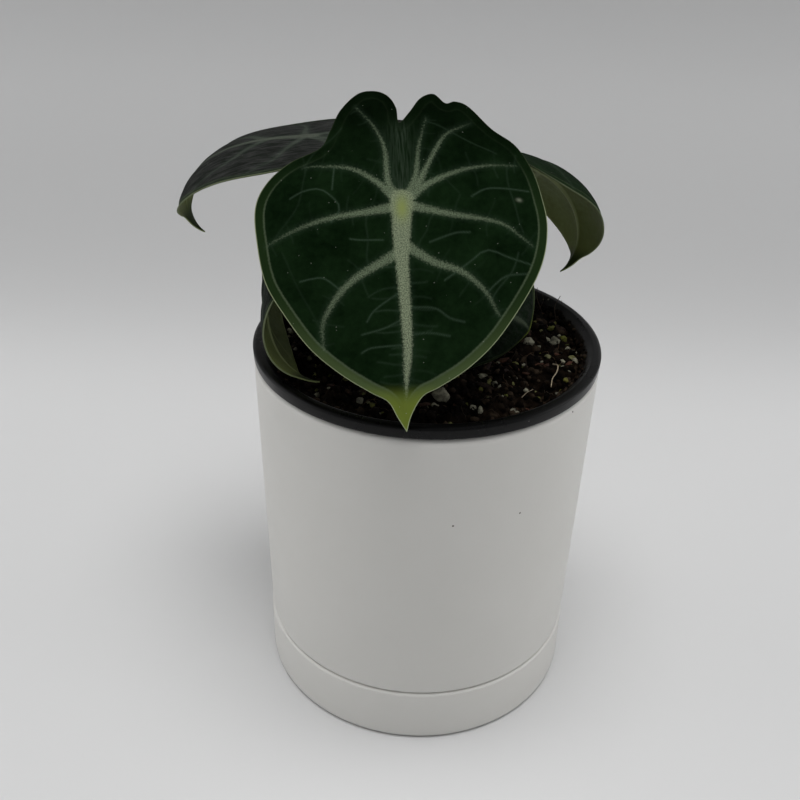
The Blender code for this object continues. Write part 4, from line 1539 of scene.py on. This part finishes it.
    def blade(self, upper: Material, lower: Material) -> Object:
        """Joins the two faces by a rounded rim: one ring, pushed out past both edges.

        Args:
            upper: the upper face's finish.
            lower: the lower face's.

        Returns:
            The blade.
        """
        top, top_edge = self.face(self.plan.upper_grid, 1)
        low, low_edge = self.face(self.plan.lower_grid, -1)
        count = len(top_edge)
        low_edge = low_edge + len(top.points)
        whole = joined([top, low])
        middle = (whole.points[top_edge] + whole.points[low_edge]) / 2
        outwards = unit(whole.points[top_edge] - whole.points[top_edge - count])
        ring = len(whole.points) + np.arange(count)
        whole.points = np.vstack([whole.points, middle + outwards * self.RIM_BULGE])
        for key, values in whole.fields.items():
            whole.fields[key] = np.concatenate([values, values[top_edge]])
        rim = [quads(a, np.roll(a, -1), np.roll(b, -1), b) for a, b in ((top_edge, ring), (ring, low_edge))]
        whole.finish = np.repeat([0, 1, 0], [len(top.faces), len(low.faces), 4 * count])
        whole.faces = np.vstack([whole.faces, *rim])
        return whole.piece(self.plan.name + "_blade", [upper, lower], "leaf_velvet", self.plan.name)

    def petiole(self, finish: Material, soil_level: float, hole_depth: float) -> Object:
        """The stalk: a cubic curve from its collar in the soil to the junction's underside.

        Args:
            finish: its material.
            soil_level: the soil's nominal height.
            hole_depth: how deep its hole is.

        Returns:
            The petiole.
        """
        plan = self.plan
        foot = np.array([*plan.root, soil_level - hole_depth + GAP])
        collar = np.array([*plan.root, soil_level + self.COLLAR_HEIGHT])
        zero = np.zeros(1)
        under = -self.sheet.normals(zero, zero)[0]
        junction = self.sheet.at(zero, zero)[0]
        top, below = junction + under * self.JUNCTION_DEPTH, junction + under * plan.petiole_drop
        lean = collar + np.array([*plan.petiole_lean, (top[2] - collar[2]) * 0.45])
        t = np.linspace(0, 1, 60)[:, None]
        curve = (1 - t) ** 3 * collar + 3 * (1 - t) ** 2 * t * lean + 3 * (1 - t) * t**2 * below + t**3 * top
        path = np.vstack([foot, foot + (collar - foot) * 0.5, curve])
        share = np.linspace(0, 1, len(path))
        radii = self.PETIOLE_FOOT + (self.PETIOLE_TOP - self.PETIOLE_FOOT) * share
        radii = radii * (1 + 0.10 * bell(share - 0.97, 0.04) + 0.02 * np.sin(share * 23))
        radii[0] *= 0.96
        radii[-2:] *= (0.8, 0.35)
        surface = tube(path, radii, self.PETIOLE_SIDES)
        surface.fields["foot"] = 1 - smoothstep(0.002, 0.016, surface.points[:, 2] - soil_level)
        return surface.piece(plan.name + "_petiole", [finish], "leaf_velvet")


# The soil

# Grains seen on the soil: millimetres to the right and to the back of the axis, and half-length
PLACED_PERLITE = (
    (40.6, 5.1, 1.9), (41.4, 0.6, 1.0), (31.7, 0.4, 1.7), (35.4, 0.3, 1.3), (45.4, -2.4, 1.5),
    (43.2, -5.3, 1.1), (46.4, -5.0, 1.0), (46.5, -0.4, 0.8), (37.5, -5.7, 1.0), (41.7, -10.5, 0.6),
    (42.6, -16.1, 0.8),
    (38.8, -24.9, 0.8), (30.9, -29.6, 0.6), (26.0, -36.2, 1.5), (25.1, -18.5, 0.5), (25.8, -23.4, 0.6),
    (22.2, -32.1, 0.4), (29.7, -34.8, 0.4), (31.2, -34.1, 0.4), (-36.0, -11.5, 1.3), (-33.2, -16.9, 1.1),
    (-40.5, -5.2, 1.0), (-31.0, -14.7, 1.2), (-27.0, -21.5, 1.2), (-16.0, -35.0, 0.7), (4.7, -32.1, 2.2),
    (3.3, -36.2, 1.5), (16.8, -17.7, 1.8), (19.0, -22.5, 1.2),
)
PLACED_MOSS = (
    (40.4, 13.4, 1.4), (41.9, 18.8, 0.8), (43.4, 6.9, 1.2), (40.8, -9.4, 0.7), (41.7, -18.4, 0.8),
    (40.3, -22.0, 0.9), (32.3, -30.5, 1.0), (-18.3, -31.5, 1.0), (-14.7, -37.4, 1.1), (-28.3, -20.3, 0.7),
    (30.2, 2.1, 0.6), (27.6, -35.0, 0.5),
)
PLACED_BARK = (
    (36.1, -11.9, 1.9), (24.9, -10.5, 2.2), (27.2, -12.6, 1.6), (34.4, -10.4, 1.5), (44.5, 21.4, 2.6),
    (44.6, 15.0, 2.6), (37.0, 29.6, 2.0), (39.5, 28.0, 1.7), (30.6, -16.7, 1.8), (40.3, -2.1, 1.6),
    (-21.8, -27.4, 1.8), (8.7, -34.8, 1.8), (0.1, -30.3, 2.0),
)
# Single strands: their course in millimetres, radius and tint; a root, two straws, and fibres over the rim
STRANDS = (
    (((38.5, -11.1, 120.6), (39.6, -13.9, 121.8), (38.8, -18.5, 122.0), (37.3, -22.0, 121.8),
      (36.7, -25.3, 120.8)), 0.22, 0.99),
    (((27.3, -32.2, 120.3), (29.2, -29.4, 120.9), (31.4, -26.5, 120.5)), 0.13, 0.80),
    (((22.0, -5.0, 120.6), (24.6, -6.2, 121.6), (27.5, -5.0, 121.0)), 0.16, 0.20),
    (((38.4, 27.0, 119.6), (36.8, 31.5, 122.6), (36.9, 34.4, 125.2)), 0.16, 0.45),
    (((37.2, 27.6, 119.6), (38.9, 31.0, 122.4), (38.0, 33.6, 124.3)), 0.12, 0.45),
    (((42.6, 21.0, 119.6), (42.2, 25.0, 122.6), (44.0, 27.5, 125.6)), 0.17, 0.45),
    (((43.4, 20.6, 119.6), (44.6, 24.6, 122.4), (44.4, 26.6, 124.4)), 0.12, 0.45),
)


@dataclass(frozen=True)
class LumpKind:
    """How one kind of lump looks: the stretch of its other two half-lengths, and how deep its middle lies.

    The stretches are least and greatest shares of the half-length, and sunk is a share of the half-height.
    """

    width: Pair
    height: Pair
    sunk: float


STOUT = LumpKind((0.7, 1.0), (0.6, 0.9), 0.25)
CHIP = LumpKind((0.35, 0.6), (0.18, 0.40), 0.0)
PERCHED = LumpKind((0.6, 1.0), (0.5, 0.9), -0.1)
BEDDED = LumpKind((0.6, 1.0), (0.5, 0.9), 0.1)


@dataclass
class SoilBed:
    """Peat with perlite, bark, fibres, roots and moss, in the nursery pot."""

    level: float = 0.1192
    mound: float = 0.0018
    back_rise: float = 0.0010
    lip_inner: float = 0.0504
    wall: float = 0.0475
    bottom: float = 0.0173
    foot: float = 0.0372
    hole_depth: float = 0.0100
    clearance: float = 0.0048
    crumb_size: float = 0.0046
    crumb_mean: float = 0.62
    crumb_height: float = 0.0024
    top_sink: float = 0.0006
    wall_dip: float = 0.0012
    dip_width: float = 0.006
    shoulder_start: float = 0.0480
    shoulder_width: float = 0.0024
    shoulder_base: float = 0.0008
    shoulder_rise: float = 0.0029
    fibre_length: Pair = (0.003, 0.010)
    fibre_radius: Pair = (0.00006, 0.00015)
    fibre_lift: float = 0.0008
    perlite: int = 150
    bark: int = 70
    crumbs: int = 1300
    slope_crumbs: int = 650
    fibres: int = 60
    moss: int = 55

    def height(self, x: np.ndarray, y: np.ndarray) -> np.ndarray:
        """The level: a low mound that rises a little towards the back right."""
        share = 1 - (x * x + y * y) / self.lip_inner**2
        return self.level + self.mound * share + self.back_rise * (0.5 * x + 0.85 * y) / self.lip_inner

    def top_at(self, x: np.ndarray, y: np.ndarray) -> np.ndarray:
        """The visible surface: the level with crumbs of five sizes on it, dipping at the wall.

        Args:
            x: distances to the right of the axis.
            y: distances to the back.

        Returns:
            Heights.
        """
        lumps = crumble(np.stack([x, y, 0 * x], axis=-1), self.crumb_size, 5, 40) - self.crumb_mean
        dip = self.wall_dip * smoothstep(self.wall - self.dip_width, self.wall, np.hypot(x, y))
        return self.height(x, y) - self.top_sink + self.crumb_height * lumps - dip

    def slope(self, r: np.ndarray) -> np.ndarray:
        """The height of the nursery pot's shoulder, which rises from the soil's edge to the lip."""
        share = np.clip((r - self.shoulder_start) / self.shoulder_width, 0.0, 1.0)
        return self.level + self.shoulder_base + self.shoulder_rise * share

    def bed(self, finish: Material) -> None:
        """The peat's body: a ring grid for its top, closed by a skirt down to the pot's floor.

        Args:
            finish: its material.
        """
        grid = RingGrid(576, 112)
        q = TURN * grid.spoke / grid.outer
        flat = grid.share[:, None] * np.stack([np.cos(q), np.sin(q)], axis=-1)
        x, y = self.wall * flat.T
        top = np.stack([x, y, self.top_at(x, y)], axis=-1)
        lower = np.c_[self.foot * flat[grid.edge], np.full(grid.outer, self.bottom)]
        middle = len(top) + grid.outer
        points = np.vstack([top, lower, [[0.0, 0.0, self.bottom]]])
        a, d = grid.edge, len(top) + np.arange(grid.outer)
        b, c = np.roll(a, -1), np.roll(d, -1)
        floor = np.stack([d, np.full(grid.outer, middle), c], 1)
        faces = np.vstack([grid.faces(), quads(a, d, c, b), floor])
        tint = 0.5 + 0.5 * value_noise(points, 0.0035, 71) + 0.25 * value_noise(points, 0.0012, 72)
        surface = Surface(points, faces, {"tint": np.clip(tint * 0.85, 0, 1)})
        surface.piece("peat_bed", [finish], "peat", "soil")

    def spots(self, count: int, reach: float, draw: np.random.Generator, feet: np.ndarray) -> np.ndarray:
        """Random places on the soil, kept off the petioles' feet.

        Args:
            count: how many.
            reach: the largest distance from the axis.
            draw: random numbers.
            feet: places of the petioles' feet.

        Returns:
            Up to count places.
        """
        r = reach * np.sqrt(draw.random(count))
        q = TURN * draw.random(count)
        spots = np.stack([r * np.cos(q), r * np.sin(q)], axis=-1)
        return spots[np.linalg.norm(spots[:, None] - feet[None], axis=-1).min(axis=1) > self.clearance]

    def lumps(
        self,
        spots: np.ndarray,
        sizes: Pair | np.ndarray,
        kind: LumpKind,
        draw: np.random.Generator,
        detail: int,
    ) -> Surface:
        """Lumps on the soil: spheres pushed in and out by noise, stretched, turned and sunk in part.

        Args:
            spots: where they lie.
            sizes: the least and greatest half-length, or an array of each one's own.
            kind: how they are stretched and sunk.
            draw: random numbers.
            detail: how often the sphere's triangles are split.

        Returns:
            All the lumps as one surface, with a random tint for each.
        """
        ball, faces = unit_sphere(detail)
        parts = []
        for i, (x, y) in enumerate(spots):
            length = draw.uniform(*sizes) if isinstance(sizes, tuple) else sizes[i]
            size = length * np.array([1.0, draw.uniform(*kind.width), draw.uniform(*kind.height)])
            broad, fine = value_noise(ball + 7.0 * i, 0.9, 3), value_noise(ball - 5.0 * i, 0.45, 4)
            swell = 1 + 0.42 * broad + 0.22 * fine
            spin = Matrix.Rotation(draw.uniform(0, 6.28), 3, "Z")
            turn = spin @ Matrix.Rotation(draw.normal(0, 0.35), 3, "Y")
            points = (ball * swell[:, None] * size) @ np.array(turn).T
            r = np.hypot(x, y)
            ground = self.slope(r) if r > self.wall else self.top_at(np.array([x]), np.array([y]))[0]
            centre = np.array([x, y, float(ground) - kind.sunk * size[2]])
            parts.append(Surface(points + centre, faces, {"tint": np.full(len(ball), draw.random())}))
        return joined(parts)

    def fibre_tangle(self, spots: np.ndarray, draw: np.random.Generator) -> Surface:
        """Fibres: thin tubes along short curved paths that leave the soil and come back to it.

        Args:
            spots: where each one's middle lies.
            draw: random numbers.

        Returns:
            All the fibres as one surface.
        """
        parts = []
        for x, y in spots:
            run = draw.uniform(*self.fibre_length)
            q = draw.uniform(0, 6.28)
            bow = draw.uniform(-0.35, 0.35) * run
            t = np.linspace(-1, 1, 11)
            px = x + math.cos(q) * run / 2 * t - math.sin(q) * bow * (1 - t * t)
            py = y + math.sin(q) * run / 2 * t + math.cos(q) * bow * (1 - t * t)
            far = np.maximum(np.hypot(px, py) / (self.wall - 0.0012), 1.0)
            px, py = px / far, py / far
            pz = self.top_at(px, py) + 0.0001 + draw.uniform(0.2, 1.0) * self.fibre_lift * (1 - t * t)
            thick = draw.uniform(*self.fibre_radius) * (1.0 - 0.5 * np.abs(t))
            part = tube(np.stack([px, py, pz], axis=-1), thick, 6)
            part.fields["tint"] = np.full(len(part.points), draw.random() * 0.70)
            parts.append(part)
        return joined(parts)

    def placed_strands(self) -> Surface:
        """The root and straws of STRANDS, each thinning to 0.55 of its radius.

        Returns:
            All of them as one surface.
        """
        parts = []
        for route, radius, tint in STRANDS:
            part = tube(through(np.array(route) * MM, 24), radius * MM * np.linspace(1.0, 0.55, 24), 8)
            part.fields["tint"] = np.full(len(part.points), tint)
            parts.append(part)
        return joined(parts)

    def build(self, feet: np.ndarray) -> None:
        """Builds the bed and all that lies on it.

        Args:
            feet: places of the petioles' and the corm's feet.
        """
        draw = np.random.default_rng(SEED)
        peat, fibre = PEAT.material(), FIBRE.material()
        self.bed(peat)
        reach = self.wall - 0.0022
        for name, finish, placed, count, sizes, kind in (
            ("perlite", PERLITE, PLACED_PERLITE, self.perlite, (0.0004, 0.0013), STOUT),
            ("bark_chips", BARK, PLACED_BARK, self.bark, (0.0012, 0.0030), CHIP),
            ("moss_bits", MOSS, PLACED_MOSS, self.moss, (0.0003, 0.0009), PERCHED),
        ):
            set_down = np.array(placed) * MM
            far = np.maximum(np.hypot(*set_down[:, :2].T) / (self.wall - 0.0010), 1.0)
            own = self.lumps(set_down[:, :2] / far[:, None], set_down[:, 2], kind, draw, 3)
            spread = self.lumps(self.spots(count, reach, draw, feet), sizes, kind, draw, 2)
            joined([own, spread]).piece(name, [finish.material()], "peat")
        ring = draw.uniform(0.0470, 0.0494, self.slope_crumbs)
        q = draw.uniform(0, TURN, self.slope_crumbs)
        on_slope = np.stack([ring * np.cos(q), ring * np.sin(q)], axis=-1)
        spots = self.spots(self.crumbs, self.wall - 0.0012, draw, feet)
        crumbs = self.lumps(spots, (0.0004, 0.0017), PERCHED, draw, 1)
        edging = self.lumps(on_slope, (0.0003, 0.0011), BEDDED, draw, 1)
        joined([crumbs, edging]).piece("peat_crumbs", [peat], "peat")
        spots = self.spots(self.fibres, reach, draw, feet)
        self.fibre_tangle(spots, draw).piece("fibres", [fibre], "peat")
        self.placed_strands().piece("roots_and_straw", [fibre], "peat")


def unit_sphere(detail: int) -> tuple[np.ndarray, np.ndarray]:
    """A sphere of radius one, made by splitting an icosahedron's triangles.

    Each pass puts a point on the middle of every edge and pushes it out to the sphere.

    Args:
        detail: how often every triangle is split in four, from 1.

    Returns:
        Its points and faces.
    """
    g = (1 + 5**0.5) / 2
    corners = [
        (-1, g, 0), (1, g, 0), (-1, -g, 0), (1, -g, 0), (0, -1, g), (0, 1, g),
        (0, -1, -g), (0, 1, -g), (g, 0, -1), (g, 0, 1), (-g, 0, -1), (-g, 0, 1),
    ]
    points = unit(np.array(corners, float))
    near = np.linalg.norm(points[:, None] - points[None], axis=-1) < 1.1
    triples = itertools.combinations(range(len(corners)), 3)
    faces = np.array([t for t in triples if all(near[p, q] for p, q in itertools.combinations(t, 2))])
    a, b, c = (points[faces[:, i]] for i in range(3))
    flipped = (np.cross(b - a, c - a) * (a + b + c)).sum(-1) < 0
    faces[flipped] = faces[flipped][:, ::-1]
    for _ in range(detail - 1):
        edges = np.sort(np.vstack([faces[:, [0, 1]], faces[:, [1, 2]], faces[:, [2, 0]]]), axis=1)
        edges, index = np.unique(edges, axis=0, return_inverse=True)
        ab, bc, ca = index.reshape(3, -1) + len(points)
        points = np.vstack([points, unit(points[edges].mean(axis=1))])
        a, b, c = faces.T
        faces = np.vstack([np.stack(t, 1) for t in ((a, ab, ca), (ab, b, bc), (ca, bc, c), (ab, bc, ca))])
    return points, faces


@dataclass
class Corm:
    """The corm's top between the petioles: a ribbed stub in a dry husk."""

    place: Pair = (-0.0003, 0.0022)
    radius: float = 0.0034
    top: float = 0.1255
    shoulder: float = 0.55
    roundness: float = 2.4
    ribs: int = 11
    rib_depth: float = 0.045
    roughness: float = 0.07
    inset: float = 0.09

    def build(self, bottom: float) -> None:
        """A turned stub whose radius is ribbed lengthwise and roughened by noise.

        Args:
            bottom: its lower end's height.
        """
        z = np.concatenate([[bottom], np.linspace(bottom + 0.004, self.top, 40)])
        share = (z - bottom) / (self.top - bottom)
        rounding = np.clip((share - self.shoulder) / (1 - self.shoulder), 0, 1) ** self.roundness
        radii = self.radius * np.sqrt(np.clip(1 - rounding * 0.94, 0.02, 1))
        path = np.stack([np.full_like(z, self.place[0]), np.full_like(z, self.place[1]), z], axis=-1)
        surface = tube(path, radii, 72)
        out = surface.points - np.array([*self.place, 0.0])
        angle = np.arctan2(out[:, 1], out[:, 0])
        ribs = self.rib_depth * np.sin(self.ribs * angle) - self.inset
        ribs = ribs + self.roughness * value_noise(out, 0.0016, 8)
        surface.points[:, :2] += out[:, :2] * ribs[:, None]
        surface.piece("corm_top", [HuskFinish().material()], "stem_husk", "stem")


# The pots


@dataclass
class Pots:
    """The white pot, its saucer and the black nursery pot, all turned, with sizes from the frame.

    Each profile method lists corners as (r, z, radius), with axis as the radius of a closed middle.
    """

    segments: int = 288
    axis: float = 0.0001
    saucer_wall: float = 0.0034
    saucer_floor: float = 0.0045
    pot_wall: float = 0.0044
    pot_floor: float = 0.0110
    pot_shoulder: float = 0.0521
    drain: float = 0.0065
    nursery_wall: float = 0.0010
    nursery_top: float = 0.0490
    nursery_foot: float = 0.0385
    lip_inner: float = 0.0504

    def saucer(self) -> list[Place]:
        """A straight shallow cup with a soft top edge and a rounder foot.

        Returns:
            The profile's corners.
        """
        _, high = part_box("saucer")
        r, z = high.x, high.z
        inner = r - self.saucer_wall
        return [
            (self.axis, 0.0, 0), (r, 0.0, 0.0024), (r, z, 0.0014), (inner, z, 0.0014),
            (inner, self.saucer_floor, 0.0008), (self.axis, self.saucer_floor, 0),
        ]

    def ceramic(self) -> list[Place]:
        """The white pot: a foot that sits in the saucer, a shoulder over its edge and a round rim.

        Returns:
            The profile's corners.
        """
        low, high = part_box("ceramic_pot")
        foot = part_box("saucer")[1].x - self.saucer_wall - 0.001
        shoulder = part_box("saucer")[1].z + GAP
        top, z = high.x, high.z
        return [
            (self.drain, low.z, 0.0004), (foot, low.z, 0.001), (foot, shoulder, 0.0003),
            (self.pot_shoulder, shoulder, 0.0010), (top, z, 0.0027), (top - self.pot_wall, z, 0.0008),
            (foot - self.pot_wall, self.pot_floor, 0.001), (self.drain, self.pot_floor, 0.0004),
        ]

    def nursery(self) -> list[Place]:
        """The thin black pot: its flat lip hangs on the white rim, and the lip's inner edge is rounded.

        Returns:
            The profile's corners.
        """
        low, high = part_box("nursery_pot")
        lip, z = high.x, high.z
        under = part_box("ceramic_pot")[1].z + GAP
        floor = low.z + self.nursery_wall
        return [
            (self.axis, low.z, 0), (self.nursery_foot, low.z, 0.0012), (self.nursery_top, under, 0.0003),
            (lip - 0.0002, under, 0.0005), (lip, z - 0.0006, 0.0004), (lip - 0.0009, z, 0.0005),
            (self.lip_inner + 0.0010, z, 0.0004), (self.lip_inner, z - 0.0007, 0.0005),
            (self.nursery_top - self.nursery_wall, under + 0.0007, 0.0012),
            (self.nursery_foot - self.nursery_wall, floor, 0.0010), (self.axis, floor, 0),
        ]

    def build(self) -> None:
        """Builds all three."""
        glaze, plastic = GlazeFinish().material(), PlasticFinish().material()
        for name, solid, corners, steps, finish, slot in (
            ("saucer_body", "saucer", self.saucer(), 8, glaze, "white_glaze"),
            ("white_pot", "ceramic_pot", self.ceramic(), 8, glaze, "white_glaze"),
            ("nursery_pot_body", "nursery_pot", self.nursery(), 6, plastic, "black_plastic"),
        ):
            turned(fillet(corners, steps), self.segments).piece(name, [finish], slot, solid)


# The studio


@dataclass(frozen=True)
class Camera:
    """The photograph's viewpoint: metres, degrees, and the lens for a 36 mm wide sensor."""

    back: float = 0.274907
    height: float = 0.265231
    pitch_down: float = 31.138
    yaw: float = -1.646
    tilt: float = 1.4605
    lens: float = 44.436

    def build(self) -> None:
        """Adds the camera: it looks along the pitched and turned direction, rolled by its tilt."""
        pitch, yaw, tilt = (math.radians(v) for v in (self.pitch_down, self.yaw, self.tilt))
        ahead = Vector((math.sin(yaw) * math.cos(pitch), math.cos(yaw) * math.cos(pitch), -math.sin(pitch)))
        level = Vector((math.cos(yaw), -math.sin(yaw), 0.0))
        upright = level.cross(ahead)
        right = level * math.cos(tilt) + upright * math.sin(tilt)
        up = upright * math.cos(tilt) - level * math.sin(tilt)
        data = bpy.data.cameras.new("camera")
        data.lens = self.lens
        data.sensor_width = 36.0
        data.clip_start = 0.01
        camera = bpy.data.objects.new("camera", data)
        rotation = Matrix((right, up, -ahead)).transposed().to_4x4()
        camera.matrix_world = Matrix.Translation((0.0, -self.back, self.height)) @ rotation
        bpy.context.scene.collection.objects.link(camera)
        bpy.context.scene.camera = camera


@dataclass(frozen=True)
class SoftBox:
    """A square area light: place, aim, side, watts, beam in degrees, and whether shiny pieces mirror it."""

    name: str
    place: Place
    aim: Place
    side: float
    watts: float
    beam: float = 180.0
    mirrored: bool = True

    def build(self) -> None:
        """Adds the light."""
        data = bpy.data.lights.new(self.name, "AREA")
        data.spread = math.radians(self.beam)
        data.size = self.side
        data.energy = self.watts
        light = bpy.data.objects.new(self.name, data)
        light.visible_glossy = self.mirrored
        light.location = self.place
        light.rotation_euler = (Vector(self.aim) - Vector(self.place)).to_track_quat("-Z", "Y").to_euler()
        bpy.context.scene.collection.objects.link(light)


@dataclass(frozen=True)
class Studio:
    """A pale floor that curves up into a backdrop, soft boxes and a dim even surround."""

    floor_colour: Colour = (0.615, 0.615, 0.615)
    # Painted shade: darker greys for the sweep and the wall
    sweep_painted_shade: Colour = (0.470, 0.470, 0.470)
    wall_painted_shade: Colour = (0.545, 0.545, 0.545)
    surround: Colour = (0.72, 0.73, 0.74)
    surround_strength: float = 0.38
    half_width: float = 8.0
    wall_top: float = 3.0
    sweep_start: float = 0.25
    sweep_radius: float = 0.20
    lights: tuple[SoftBox, ...] = (
        SoftBox("overhead", (0.03, -0.30, 2.80), (0.03, -0.30, 0.0), 2.0, 11.9, beam=62.0, mirrored=False),
        SoftBox("left_box", (-1.15, 0.18, 0.42), (0.0, -0.08, 0.08), 1.2, 6.0),
        SoftBox("right_box", (1.15, 0.18, 0.42), (0.0, -0.08, 0.08), 1.2, 5.8),
    )

    def paper(self) -> Material:
        """The backdrop's finish: the floor's grey, with painted shade darkest in the sweep and lighter
        painted shade up the wall.

        Returns:
            The material.
        """
        graph = FinishGraph("backdrop")
        place = graph.object_place()
        # Painted shade in the sweep, lighter up the wall
        sweep = graph.between(graph.part(place, "Y"), 0.14, 0.34)
        wall = graph.between(graph.part(place, "Z"), 0.02, 0.11)
        colour = graph.mix(wall, graph.mix(sweep, self.floor_colour, self.sweep_painted_shade), self.wall_painted_shade)
        return graph.material(Base_Color=colour, Roughness=0.85, Specular_IOR_Level=0.15)

    def backdrop(self) -> None:
        """The floor and wall: a flat sheet, a quarter circle and a straight rise, swept sideways."""
        q = np.linspace(0, math.pi / 2, 40)
        wall = self.sweep_start + self.sweep_radius
        y = np.concatenate([[-self.half_width], self.sweep_start + self.sweep_radius * np.sin(q), [wall]])
        z = np.concatenate([[0.0], self.sweep_radius * (1 - np.cos(q)), [self.wall_top]])
        edges = [np.stack([np.full_like(y, x), y, z], axis=-1) for x in (-self.half_width, self.half_width)]
        k = np.arange(len(y) - 1)
        mesh = bpy.data.meshes.new("backdrop")
        faces = quads(k, k + len(y), k + len(y) + 1, k + 1)
        mesh.from_pydata(np.vstack(edges).tolist(), [], faces.tolist())
        mesh.shade_smooth()
        mesh.materials.append(self.paper())
        obj = bpy.data.objects.new("backdrop", mesh)
        bpy.context.scene.collection.objects.link(obj)

    def build(self) -> None:
        """Adds the backdrop, the lights and the surround."""
        self.backdrop()
        for light in self.lights:
            light.build()
        world = bpy.data.worlds.new("surround")
        world.use_nodes = True
        background = world.node_tree.nodes["Background"]
        background.inputs["Color"].default_value = (*self.surround, 1.0)
        background.inputs["Strength"].default_value = self.surround_strength
        bpy.context.scene.world = world
        bpy.context.scene.view_settings.view_transform = "Standard"


def main() -> None:
    """Builds the plant in order."""
    logging.basicConfig(level=logging.INFO, format="%(message)s")
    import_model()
    Camera().build()
    Studio().build()
    Pots().build()
    soil = SoilBed()
    corm = Corm()
    feet = np.array([plan.root for plan in PLANS] + [corm.place])
    soil.build(feet)
    corm.build(soil.level - soil.hole_depth + GAP)
    velvet, back, stalk = VelvetFinish().material(), LeafBackFinish().material(), PetioleFinish().material()
    for number, plan in enumerate(PLANS):
        leaf = Leaf(plan, number)
        leaf.blade(velvet, back)
        leaf.petiole(stalk, soil.level, soil.hole_depth)


if __name__ == "__main__":
    main()
